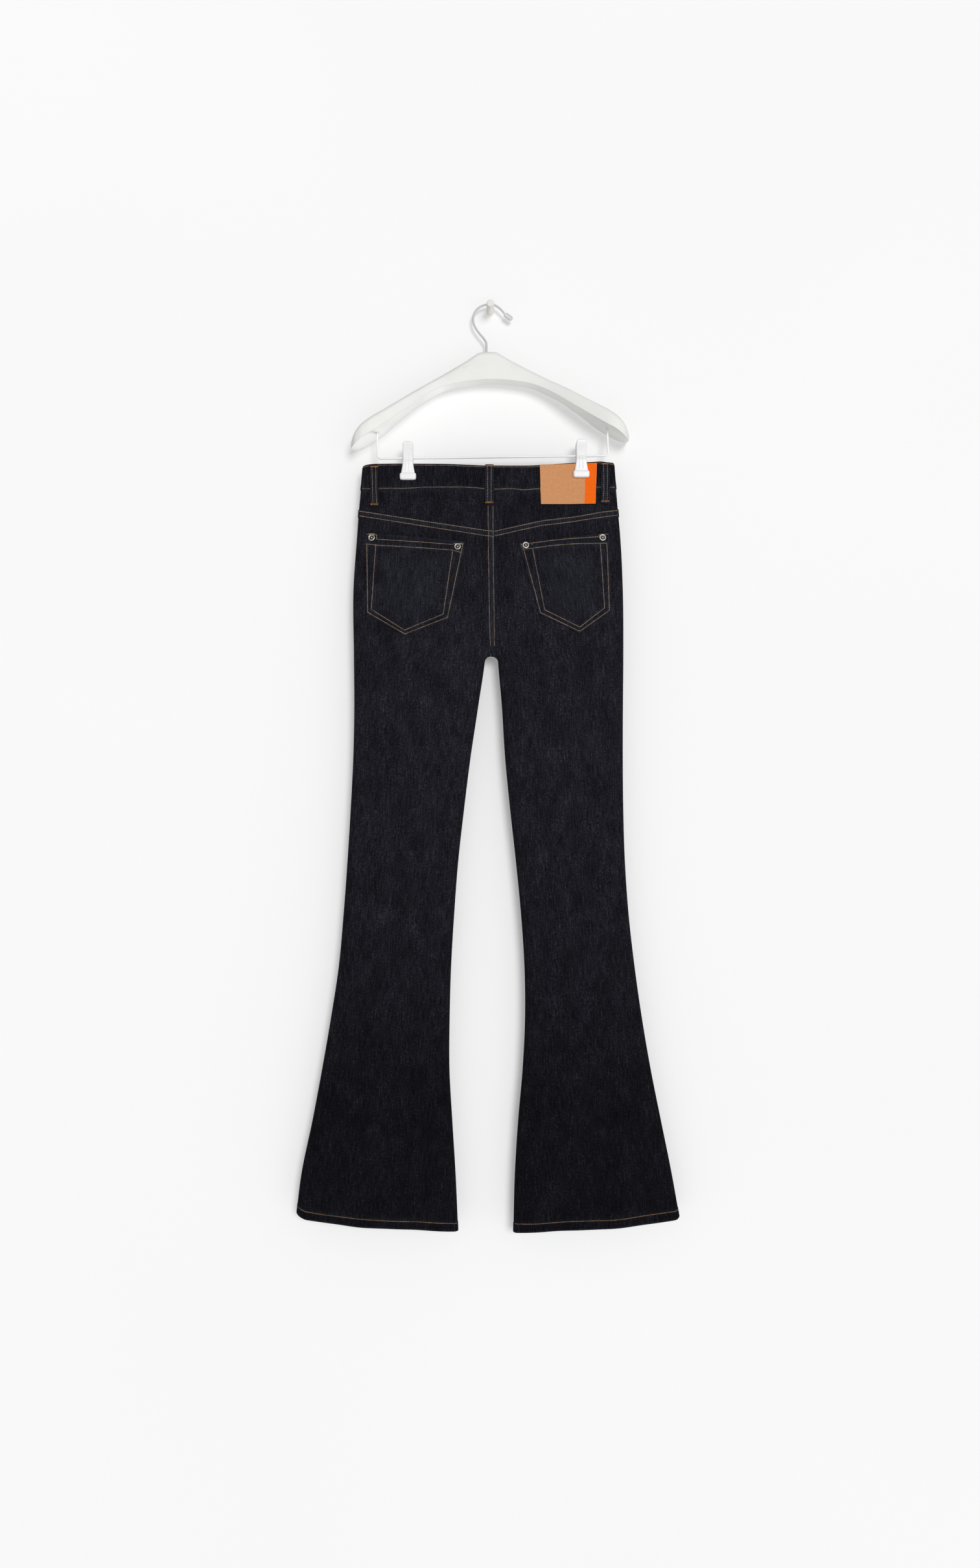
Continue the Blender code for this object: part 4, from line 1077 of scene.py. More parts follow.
@dataclass(frozen=True)
class KraftBoard:
    """Uncoated kraft board: matt, warm brown, with short fibres that run every way."""

    name: str
    base: str
    dark: str
    light: str
    roughness: float = 0.86
    gloss: float = 0.2
    fibre_mm: tuple[float, float] = (0.9, 6.0)
    speck_mm: float = 1.1

    def build(self) -> Material:
        """Make the material."""
        recipe = Recipe(self.name)
        add = recipe.add
        place = add("TexCoord").outputs["Object"]
        thick, long = per_mm(*self.fibre_mm)
        fibres = []
        for turn, seed in ((0.5, 0.0), (-0.9, 3.0)):
            at = add("Mapping", {
                "Vector": place, "Rotation": (0.0, turn, 0.0), "Location": (seed, 0.0, seed)})
            squeezed = add("Mapping", {"Vector": at, "Scale": (thick, 1.0, long)})
            fibres.append(add("TexNoise", {"Vector": squeezed, "Scale": 1.0, "Detail": 2.0}))
        both = add("Math", {0: fibres[0], 1: fibres[1]}, operation="ADD")
        speck = add("TexNoise", {"Vector": place, "Scale": per_mm(self.speck_mm)[0], "Detail": 2.0})
        mixed = add("Math", {0: speck, 1: 0.5, 2: both}, operation="MULTIPLY_ADD")
        spread = add("MapRange", {"Value": mixed, "From Min": 0.9, "From Max": 1.6})
        tones = ((0.1, self.dark), (0.5, self.base), (0.92, self.light))
        return recipe.finish({
            "Base Color": add("ValToRGB", {0: spread}, stops=tones),
            "Normal": add("Bump", {"Height": mixed, "Strength": 0.3, "Distance": 0.0002}),
            "Roughness": self.roughness, "Specular IOR Level": self.gloss})


@dataclass(frozen=True)
class StruckNickel:
    """Nickel-plated brass, struck in a die and tumbled: bright rims and dull, dark hollows."""

    name: str = "struck_nickel_plate"
    bright: str = "ACAAA4"
    dull: str = "33312F"

    def build(self) -> Material:
        """Make the material."""
        recipe = Recipe(self.name)
        add = recipe.add
        place = add("TexCoord").outputs["Object"]
        tarnish = add("TexNoise", {"Vector": place, "Scale": 700.0, "Detail": 4.0})
        wear = add("Attribute", attribute_name="wear").outputs["Fac"]
        shine = add("Math", {0: tarnish, 1: 0.5, 2: wear}, operation="MULTIPLY_ADD")
        return recipe.finish({
            "Base Color": add("ValToRGB", {0: shine}, stops=((0.25, self.dull), (1.0, self.bright))),
            "Roughness": add("MapRange", {
                "Value": tarnish, "From Min": 0.3, "From Max": 0.7, "To Min": 0.24, "To Max": 0.42}),
            "Metallic": 1.0})


@dataclass(frozen=True)
class SmoothCoat:
    """A hard pale coat or moulding: a plain colour with slight waviness and fine pores.

    The grain is stretched along one axis: long on painted wood, where brush and fibre show
    through, and even on sprayed or moulded surfaces.
    """

    name: str
    base: str
    shade: str
    roughness: float
    gloss: float = 0.5
    metallic: float = 0.0
    grain_mm: tuple[float, float, float] = (1.2, 1.2, 1.2)
    relief_mm: float = 0.05
    strength: float = 0.25

    def build(self) -> Material:
        """Make the material."""
        recipe = Recipe(self.name)
        add = recipe.add
        place = add("TexCoord").outputs["Object"]
        at = add("Mapping", {"Vector": place, "Scale": per_mm(*self.grain_mm)})
        grain = add("TexNoise", {"Vector": at, "Scale": 1.0, "Detail": 3.0})
        broad = add("TexNoise", {"Vector": place, "Scale": 22.0, "Detail": 2.0})
        mixed = add("Math", {0: grain, 1: 0.6, 2: broad}, operation="MULTIPLY_ADD")
        span = add("MapRange", {"Value": mixed, "From Min": 0.45, "From Max": 1.0})
        return recipe.finish({
            "Base Color": add("ValToRGB", {0: span}, stops=((0.1, self.shade), (0.7, self.base))),
            "Roughness": add("MapRange", {
                "Value": span, "To Min": self.roughness + 0.05, "To Max": self.roughness - 0.04}),
            "Normal": add("Bump", {
                "Height": grain, "Strength": self.strength, "Distance": self.relief_mm * MM}),
            "Specular IOR Level": self.gloss, "Metallic": self.metallic})


@dataclass(frozen=True)
class Backdrop:
    """Matt paint or paper round the subject, which glows a little so that it stays pale.

    Drift is how fast its tone wanders, for each metre, and how finely.
    """

    name: str
    tones: tuple[str, str]
    roughness: float
    gloss: float
    glow: str
    power: float
    drift: tuple[float, float] = (1.0, 1.0)
    one_sided: bool = False

    def build(self) -> Material:
        """Make the material."""
        recipe = Recipe(self.name)
        add = recipe.add
        place = add("TexCoord").outputs["Object"]
        drift = add("TexNoise", {"Vector": place, "Scale": self.drift[0], "Detail": self.drift[1]})
        material = recipe.finish({
            "Base Color": add("ValToRGB", {0: drift}, stops=tuple(zip((0.3, 0.7), self.tones))),
            "Roughness": self.roughness, "Specular IOR Level": self.gloss,
            "Emission Color": linear(self.glow), "Emission Strength": self.power})
        material.cycles.emission_sampling = "NONE"
        if self.one_sided:
            behind = add("NewGeometry").outputs["Backfacing"]
            nodes = recipe.tree.nodes
            seen = add("MixShader", {0: behind, 1: nodes["Principled BSDF"], 2: add("BsdfTransparent")})
            connect(nodes["Material Output"], {"Surface": seen})
        return material


def once(finish: object) -> object:
    """A field that holds the material of a finish, made with the class that holds it."""
    return field(default_factory=finish.build)


@dataclass
class Finishes:
    """Every material of the part, made once."""

    denim: Material = once(RingSpunDenim())
    reverse: Material = once(DenimReverse())
    # Mid-tan thread that indigo has begun to dull.
    tan: Material = once(CoreSpunThread("core_spun_thread_tan", "66574A", "968270"))
    # Tobacco-brown thread of the hems, made darker still with painted shade, as the flares hang in
    # shade.
    brown: Material = once(CoreSpunThread("core_spun_thread_tobacco", "5C4634", "866B50"))
    # Copper-orange thread of the bar tacks, still bright.
    copper: Material = once(CoreSpunThread("core_spun_thread_copper", "7A4F2E", "AC7844"))
    kraft: Material = once(KraftBoard("uncoated_kraft_board", "CC9062", "C58859", "D49B6D"))
    # The same board under one flat offset ink, which fills the fibres and dries smoother.
    orange: Material = once(KraftBoard(
        "orange_printed_board", "F26500", "EC5E00", "F86E04", roughness=0.7, gloss=0.15))
    nickel: Material = once(StruckNickel())
    # Beech sprayed with satin white lacquer: fibre still shows as long, very faint lines.
    lacquer: Material = once(SmoothCoat(
        "satin_lacquered_beech", "ECECE9", "E7E7E4", 0.5, 0.3, grain_mm=(22.0, 1.6, 1.6)))
    # Zinc-plated steel with a thin satin passivation: pale, greyish and only half mirror-like.
    plated: Material = once(SmoothCoat(
        "satin_zinc_plated_steel", "C8C9CA", "BABBBD", 0.5, 0.4, metallic=0.2))
    # Steel wire dipped in white nylon: thick, even and a little glossy.
    coated: Material = once(SmoothCoat("nylon_dipped_wire", "F7F7F7", "F1F1F1", 0.3))
    # Injection-moulded polypropylene: waxy satin with a trace of shrinkage.
    plastic: Material = once(SmoothCoat(
        "moulded_polypropylene", "F1F0F1", "EAE9EA", 0.34, grain_mm=(3.0, 3.0, 3.0)))
    # Dowel brushed with thin white paint, so the flutes and fibres show through as grey lines.
    dowel: Material = once(SmoothCoat(
        "brush_painted_dowel", "EAE7E2", "CFCBC5", 0.6, 0.3, grain_mm=(0.8, 9.0, 0.8),
        relief_mm=0.15, strength=0.5))


@dataclass(frozen=True)
class SeamLaps:
    """Felled seams of the seat: one piece laps the next and stands proud of it.

    Each table is a row of stitches: the upper and lower ones of the yoke seam as x and drop,
    and the left and right ones of the centre seam as drop and x.
    """

    form: GarmentForm
    proud: float = 1.05
    edge_margin: float = 1.8
    foot_margin: float = 1.0
    foot_run: float = 2.6
    close_from: float = 258.0
    close_run: float = 14.0
    rise_ends: Points = ((38.0, 10.0), (256.0, 16.0))
    upper: dict[Leg, Points] = field(default_factory=lambda: {
        Leg.LEFT: ((-202.0, 62.4), (5.2, 97.1)),
        Leg.RIGHT: (
            (7.1, 96.2), (77.4, 79.5), (128.7, 72.7), (162.3, 66.0), (186.2, 63.2), (202.0, 61.4)),
    })
    lower: dict[Leg, Points] = field(default_factory=lambda: {
        Leg.LEFT: ((-202.0, 69.3), (5.2, 104.9)),
        Leg.RIGHT: (
            (8.7, 102.7), (74.7, 86.8), (115.1, 81.4), (155.1, 74.7), (186.2, 70.0), (202.0, 67.6)),
    })
    centre_left: Points = ((53.4, -3.3), (133.5, -2.8), (251.3, -0.7), (280.0, -0.2))
    centre_right: Points = ((53.4, 3.8), (133.5, 4.2), (251.3, 6.1), (280.0, 6.4))

    def yoke_edge(self, leg: Leg, x: Number) -> Number:
        """Drop of the edge where the seat laps the yoke."""
        return straight(self.upper[leg], x) - self.edge_margin

    def centre_edge(self, drop: Number) -> Number:
        """How far right the left pieces lap the right ones."""
        reach = straight(self.centre_right, drop) + self.edge_margin
        closing = smoothstep((drop - self.close_from) / self.close_run)
        return reach + (self.form.centre_x - self.form.seam_gap / 2 - reach) * closing

    def yoke_lift(self, leg: Leg, x: Array, drop: Array) -> Array:
        """How proud the seat stands along the yoke seam."""
        foot = straight(self.lower[leg], x) + self.foot_margin
        return self.proud * (1 - smoothstep((drop - foot) / self.foot_run))

    def centre_lift(self, x: Array, drop: Array) -> Array:
        """How proud the left pieces stand along the centre seam.

        Args:
            x: places across.
            drop: their drops.

        Returns:
            Height off the form.
        """
        start = straight(self.centre_left, drop) - self.foot_margin - self.foot_run
        rise = smoothstep((x - start) / self.foot_run)
        (top, top_run), (foot, foot_run) = self.rise_ends
        ends = smoothstep((drop - top) / top_run) * (1 - smoothstep((drop - foot) / foot_run))
        return self.proud * rise * ends

    def lift(self, x: Array, drop: Array) -> Array:
        """Height of the topmost cloth off the form anywhere on the back of the seat.

        Args:
            x: places across.
            drop: their drops.

        Returns:
            Height off the form.
        """
        x, drop = np.broadcast_arrays(x, drop)
        lapped = np.where(x <= self.centre_edge(drop), self.centre_lift(x, drop), 0.0)
        for leg in Leg:
            own = (x <= self.centre_edge(drop)) == (leg == Leg.LEFT)
            below = own & (drop >= self.yoke_edge(leg, x))
            lapped = lapped + np.where(below, self.yoke_lift(leg, x, drop), 0.0)
        return lapped


def band_wave(x: Array, face: Face) -> Array:
    """How far the band's lower edge wanders from its straight line."""
    return follow(BAND_WAVE, x if face == Face.BACK else -x * 0.8 + 20.0)


@dataclass
class Garment:
    """What every sewn piece shares: the form, the seams and the materials."""

    form: GarmentForm
    laps: SeamLaps
    finishes: Finishes
    cloth_wall: float = 0.95
    hem_fold: float = 12.8
    hem_proud: float = 0.45
    turn_start: float = 70.0
    turn_run: float = 58.0
    bow_rise: float = 0.08
    edge_round: float = 0.9
    lapped_round: float = 0.8
    fold_wear: float = 0.55
    seam_wear: float = 0.6
    row_wear: float = 0.3
    edge_angles: tuple[float, ...] = (0.0, 12.0, 25.0, 38.0, 50.0, 62.0, 76.0)

    def columns(self, width: float, outer: float, inner: float, count: int) -> Array:
        """Distances in from the outer edge: close round the folds and even between them.

        Args:
            width: from the outer to the inner edge.
            outer: radius of the fold at the outer edge.
            inner: radius of the fold at the inner edge, or 0 where it has none.
            count: columns between the folds.

        Returns:
            The distance of each column.
        """
        folded = 1 - np.cos(np.radians(self.edge_angles))
        middle = np.linspace(outer, width - inner, count)
        end = [width - inner * folded[::-1]] if inner > 0 else []
        return np.concatenate([outer * folded, middle, *end])

    def lay_grid(
        self, leg: Leg, outer: Array, inner: Array, inset: Number = 0.0, overlap: Number = 0.0,
        inner_round: bool = True, count: int = 78,
    ) -> tuple[Array, Array]:
        """Place a piece of cloth on the form, row by row from its outer to its inner edge.

        Args:
            leg: which leg it belongs to.
            outer: drop of each row at the outer edge.
            inner: drop of each row at the inner edge.
            inset: how far each row starts in from the side.
            overlap: how far each row runs on past the centre seam.
            inner_round: whether the rows crowd together at the inner edge.
            count: columns between the edges.

        Returns:
            x and drop of each point.
        """
        lines = LINES[leg]
        xs, drops = [], []
        edges = np.broadcast_arrays(outer, inner, inset, overlap)
        for outer_drop, inner_drop, step, past in zip(*edges):
            turned = smoothstep((outer_drop - lines.hem_out + self.turn_start) / self.turn_run)
            corner = lines.corner_lift * float(turned)
            start = float(self.form.outer_x(leg, outer_drop - corner)) - leg * step
            end = float(self.form.inner_x(leg, inner_drop)) - leg * past
            outer_radius, inner_radius = (
                float(self.form.section("side_radius", drop)) for drop in (outer_drop, inner_drop))
            distance = self.columns(abs(end - start), outer_radius, inner_radius * inner_round, count)
            share = distance / distance[-1]
            near = np.clip(1 - distance / lines.corner_run, 0.0, 1.0)
            xs.append(start + (end - start) * share)
            bow = lines.bow * turned * (1 - share) * np.minimum(share / self.bow_rise, 1.0)
            drops.append(outer_drop + (inner_drop - outer_drop) * share - corner * near ** 2 - bow)
        return np.array(xs), np.array(drops)

    def place(self, leg: Leg, face: Face, x: Array, drop: Array) -> Array:
        """World points of a grid on the form, held off the middle plane by half the seam's gap."""
        depth = np.maximum(self.form.half_depth(x, drop, leg, face), self.form.seam_gap / 2)
        return self.form.to_world(x, depth, drop, face)

    def lap(self, inner: Array) -> Array:
        """How far rows of the left pieces run on past the centre seam."""
        return self.laps.centre_edge(inner) - (self.form.centre_x - self.form.seam_gap / 2)

    def cover(
        self, name: str, outside: Array, inside: Array, worn: Array | None = None,
        rounded: Number = 0.0, origin: tuple[float, float] = (0.0, 0.0), lined: bool = True,
    ) -> Object:
        """Make a piece of denim in place of the solid of its name.

        Args:
            name: the piece and its solid.
            outside: grid of its outer face.
            inside: grid of its inner face.
            worn: how rubbed each point is.
            rounded: how far the rim bulges out.
            origin: where on the flat cloth it was cut, in millimetres.
            lined: whether its inside shows the cloth's reverse.

        Returns:
            The new piece.
        """
        finishes = [self.finishes.denim, self.finishes.reverse][:1 + lined]
        rubbed = None if worn is None else np.clip(worn, 0.0, 1.0)
        piece = PieceMesh(name)
        piece.add_wall(outside, inside, cloth_places(outside, origin), rubbed, rounded, (0, int(lined)))
        return piece.build(finishes, "denim")

    def needle(self, name: str, face: Face = Face.BACK) -> Sewing:
        """Start a piece of sewing on the form."""
        return Sewing(name, self.form, face)


@dataclass
class LegPiece:
    """A sewn piece that belongs to one leg."""

    garment: Garment
    leg: Leg


@dataclass
class LegPanel(LegPiece):
    """Back or front of one leg, cut in one length from the seat to the hem."""

    face: Face
    hem_wall: float = 2.2
    row_pitch: float = 4.4
    seat_foot: float = 36.0
    centre_foot: float = 272.0
    crotch_outer: tuple[float, float] = (-26.0, 20.0)
    lap_steps: tuple[float, ...] = (0.0, 0.7, 1.8, 3.4, 5.2, 7.0, 8.6, 10.0, 11.2, 12.4)
    hem_steps: tuple[float, ...] = (
        -14.4, -13.6, -13.0, -12.4, -11.6, -9.0, -6.0, -4.0, -2.4, -1.2, -0.5, 0.0)

    @property
    def name(self) -> str:
        """Name of the piece and of its solid."""
        return f"{self.face.word}_panel_{self.leg.word}"

    @property
    def laps_centre(self) -> bool:
        """Whether its centre seam laps the other leg's."""
        return self.leg == Leg.LEFT and self.face == Face.BACK

    def leg_rows(self) -> tuple[Array, Array]:
        """Outer and inner drops of the rows from just above the crotch to the hem."""
        form, lines = self.garment.form, LINES[self.leg]
        above = np.radians(np.linspace(76.0, 0.0, 8))
        below = np.radians(np.linspace(10.0, 90.0, 9))
        inner = np.concatenate([
            form.crotch - form.crotch_round * (1 - np.cos(above)),
            form.crotch + form.arch_height * (1 - np.cos(below))])
        outer = form.crotch + np.linspace(*self.crotch_outer, len(inner))
        count = round((lines.hem_in - self.garment.hem_fold - inner[-1]) / self.row_pitch)
        return tuple(
            np.concatenate([rows, np.linspace(rows[-1], hem + self.hem_steps[0], count)[1:-1],
                            hem + np.array(self.hem_steps)])
            for rows, hem in ((outer, lines.hem_out), (inner, lines.hem_in)))

    def seat_rows(self) -> tuple[Array, Array, Array]:
        """Outer and inner drops and insets of the rows above the crotch."""
        form, laps = self.garment.form, self.garment.laps
        foot_out, foot_in = form.crotch - self.seat_foot, form.crotch - form.crotch_round
        if self.face == Face.BACK:
            side = float(form.outer_x(self.leg, SIDE_LEVEL))
            out, start = (
                float(laps.yoke_edge(self.leg, x)) + np.array(self.lap_steps)
                for x in (side, form.centre_x))
            count = round((foot_in - start[-1]) / self.row_pitch)
            out = np.concatenate([out, np.linspace(out[-1], foot_out, count)[1:]])
            start = np.concatenate([start, np.linspace(start[-1], foot_in, count)[1:]])
            return out, start, np.zeros(len(out))
        angles = np.radians(np.linspace(0.0, 90.0, 22))
        insets = SCOOP_REACH * np.cos(angles)
        insets[-1] = 0.0
        scoop = LINES[self.leg].band + form.seam_gap + SCOOP_DEPTH * np.sin(angles)
        below = np.linspace(scoop[-1], foot_out, round((foot_out - scoop[-1]) / self.row_pitch))[1:]
        out = np.concatenate([scoop, below])
        start = np.linspace(form.centre_band + form.seam_gap, foot_in, len(out))
        width = abs(float(form.inner_x(self.leg, start[0]) - form.outer_x(self.leg, out[0])))
        out[0] += (start[0] - out[0]) * insets[0] / width
        return out, start, np.concatenate([insets, np.zeros(len(below))])

    def grid(self) -> tuple[Array, Array, Array, Array]:
        """x, drop and world points on the form, and the inner drop of each row."""
        garment, laps = self.garment, self.garment.laps
        seat_out, seat_in, seat_inset = self.seat_rows()
        leg_out, leg_in = self.leg_rows()
        outer = np.concatenate([seat_out, leg_out])
        inner = np.concatenate([seat_in, leg_in])
        inset = np.concatenate([seat_inset, np.zeros(len(leg_out))])
        overlap = np.where(inner < self.centre_foot, garment.lap(inner), 0.0) * self.laps_centre
        x, drop = garment.lay_grid(self.leg, outer, inner, inset, overlap)
        if self.face == Face.BACK:
            fade = 1 - smoothstep((outer - outer[0]) / 70.0)
            bend = laps.yoke_edge(self.leg, x[0]) - drop[0]
            drop = drop + straight(tuple(zip(x[0], bend)), x) * fade[:, None]
        return x, drop, garment.place(self.leg, self.face, x, drop), inner

    def build(self) -> None:
        """Make the panel, and sew its hem."""
        garment, form, laps = self.garment, self.garment.form, self.garment.laps
        x, drop, points, inner = self.grid()
        normals = grid_normals(points, self.face)
        lay_flat(normals, slice(None), 0, 1)
        seam_top = self.centre_foot if self.laps_centre else -np.inf
        lay_flat(normals, (inner >= seam_top) & (inner <= form.crotch), -1, 0)
        lay_flat(normals, inner >= form.crotch, -1, 1)
        normals[np.isclose(inner, form.crotch), -1] = (0.0, 0.0, -1.0)
        from_hem = drop[-1][None] - drop
        hem = smoothstep((garment.hem_fold + 0.6 - from_hem) / 1.2)
        lift = garment.hem_proud * hem
        worn = garment.fold_wear * bump_at(from_hem, 1.4)
        worn = worn + garment.row_wear * bump_at(from_hem - garment.hem_fold, 1.5)
        rounded = np.zeros(x.shape)
        rounded[-1] = garment.edge_round
        if self.face == Face.BACK:
            lift = lift + laps.yoke_lift(self.leg, x, drop)
            worn = worn + garment.fold_wear * bump_at(drop - laps.yoke_edge(self.leg, x) - 4.0, 5.0)
            rounded[0] = garment.lapped_round
        else:
            rounded[drop[:, 0] < LINES[self.leg].band + SCOOP_DEPTH + 1.0, 0] = garment.lapped_round
        if self.laps_centre:
            seat = inner[:, None] < form.crotch - 0.5
            lift = lift + laps.centre_lift(x, drop) * seat
            worn = worn + garment.seam_wear * seat * bump_at(x - 2.0, 4.5)
            rounded[inner < SEAT_SEAM_END, -1] = garment.lapped_round
        wall = garment.cloth_wall + (self.hem_wall - garment.cloth_wall) * hem
        outside = points + normals * lift[..., None]
        cloth = garment.cover(self.name, outside, outside - normals * wall[..., None], worn, rounded)
        sewing = self.sew_hem(x[-1, 4:-4], drop[-1, 4:-4])
        flat, area = cut_size(outside)

    def sew_hem(self, x: Array, bottom: Array) -> Object:
        """Sew the hem's single row a little below the fold's raw edge.

        Args:
            x: places along the hem.
            bottom: drops of its lower edge.

        Returns:
            The row of thread.
        """
        garment = self.garment
        sewing = garment.needle(f"hem_stitching_{self.face.word}_{self.leg.word}", self.face)
        rise = garment.hem_fold - LINES[self.leg].row_inset + 0.35 * np.sin(x / 17.0)
        sewing.row(TOPSTITCH, x, bottom - rise, garment.hem_proud)
        return sewing.build([garment.finishes.brown])


@dataclass
class Yoke(LegPiece):
    """Back yoke between the waistband and the seat."""

    rows: int = 30
    height: float = 60.0
    top_wear: float = 0.35

    def build(self) -> None:
        """Make the yoke."""
        garment, form, laps = self.garment, self.garment.form, self.garment.laps
        lines, left = LINES[self.leg], self.leg == Leg.LEFT
        outer, inner = (
            np.linspace(top + form.seam_gap, low - form.seam_gap / 2, self.rows)
            for top, low in ((lines.band, lines.yoke), (form.centre_band, form.centre_yoke)))
        x, drop = garment.lay_grid(self.leg, outer, inner, 0.0, garment.lap(inner) * left, False)
        share = np.linspace(0, 1, self.rows)[:, None]
        bend = laps.yoke_edge(self.leg, x[-1]) - (drop[-1] - laps.edge_margin - 3.0)
        drop = drop + band_wave(x, Face.BACK) * (1 - share) ** 1.5 + (bend + 1.0) * share ** 2
        points = garment.place(self.leg, Face.BACK, x, drop)
        normals = grid_normals(points, Face.BACK)
        lay_flat(normals, slice(None), 0, 1)
        lift = rounded = np.zeros(x.shape)
        worn = self.top_wear * bump_at(share * self.height, 4.0) + np.zeros(x.shape)
        if left:
            lift = laps.centre_lift(x, drop)
            worn = worn + garment.seam_wear * bump_at(x - 1.0, 4.5)
            rounded[:, -1] = garment.lapped_round
        else:
            lay_flat(normals, slice(None), -1, 0)
        outside = points + normals * lift[..., None]
        inside = outside - normals * garment.cloth_wall
        cloth = garment.cover("yoke_" + self.leg.word, outside, inside, worn, rounded)
        sewing = self.sew()
        flat, area = cut_size(outside)

    def sew(self) -> list[Object]:
        """Sew both rows of the yoke seam, and the centre seam with the left yoke."""
        garment, form, laps = self.garment, self.garment.form, self.garment.laps
        seam = garment.needle("yoke_seam_stitching_" + self.leg.word)
        side = float(form.outer_x(self.leg, SIDE_LEVEL)) - self.leg * 1.4
        centre = float(laps.centre_edge(np.array(98.0)))
        x = np.linspace(*((side, centre - 0.4) if self.leg == Leg.LEFT else (centre + 0.6, side)), 120)
        for table in (laps.upper[self.leg], laps.lower[self.leg]):
            drop = straight(table, x)
            seam.row(TOPSTITCH, x, drop, laps.lift(x, drop))
        made = [seam.build([garment.finishes.tan])]
        if self.leg == Leg.LEFT:
            centre_seam = garment.needle("centre_back_stitching")
            drop = np.linspace(58.5, SEAT_SEAM_END, 150)
            for table in (laps.centre_left, laps.centre_right):
                x = straight(table, drop)
                centre_seam.row(BAND_STITCH, x, drop, laps.lift(x, drop))
            made.append(centre_seam.build([garment.finishes.tan]))
        return made


@dataclass
class PocketFacing(LegPiece):
    """Cloth that shows in the curved opening of a front pocket."""

    under: float = 13.0
    gap: float = 0.35
    short: float = 1.0

    def build(self) -> None:
        """Make the facing and the double row round the opening."""
        garment, form = self.garment, self.garment.form
        band = LINES[self.leg].band
        xs, drops = [], []
        for angle in np.radians(np.linspace(0.0, 84.0, 26)):
            level = band + form.seam_gap + (SCOOP_DEPTH - self.short) * math.sin(angle)
            width = (SCOOP_REACH + self.under) * math.cos(angle)
            start = float(form.outer_x(self.leg, level))
            distance = garment.columns(width, float(form.section("side_radius", level)), 0.0, 36)
            xs.append(start - self.leg * distance)
            drops.append(level + (form.centre_band - band) / abs(form.centre_x - start) * distance)
        points = garment.place(self.leg, Face.FRONT, np.array(xs), np.array(drops))
        normals = grid_normals(points, Face.FRONT)
        lay_flat(normals, slice(None), 0, 1)
        outside = points - normals * (garment.cloth_wall + self.gap)
        inside = outside - normals * garment.cloth_wall
        cloth = garment.cover("front_pocket_facing_" + self.leg.word, outside, inside)
        flat, area = cut_size(outside)
        self.sew()

    def sew(self) -> Object:
        """Sew two rows along the edge of the scoop."""
        sewing = self.garment.needle("scoop_stitching_" + self.leg.word, Face.FRONT)
        angles = np.radians(np.linspace(3.0, 86.0, 60))
        for away in (1.8, 7.6):
            level = LINES[self.leg].band + (SCOOP_DEPTH + away) * np.sin(angles)
            x = (SCOOP_REACH + away) * np.cos(angles) + 0.8
            sewing.row(TOPSTITCH, self.garment.form.outer_x(self.leg, level) - self.leg * x, level)
        return sewing.build([self.garment.finishes.tan])


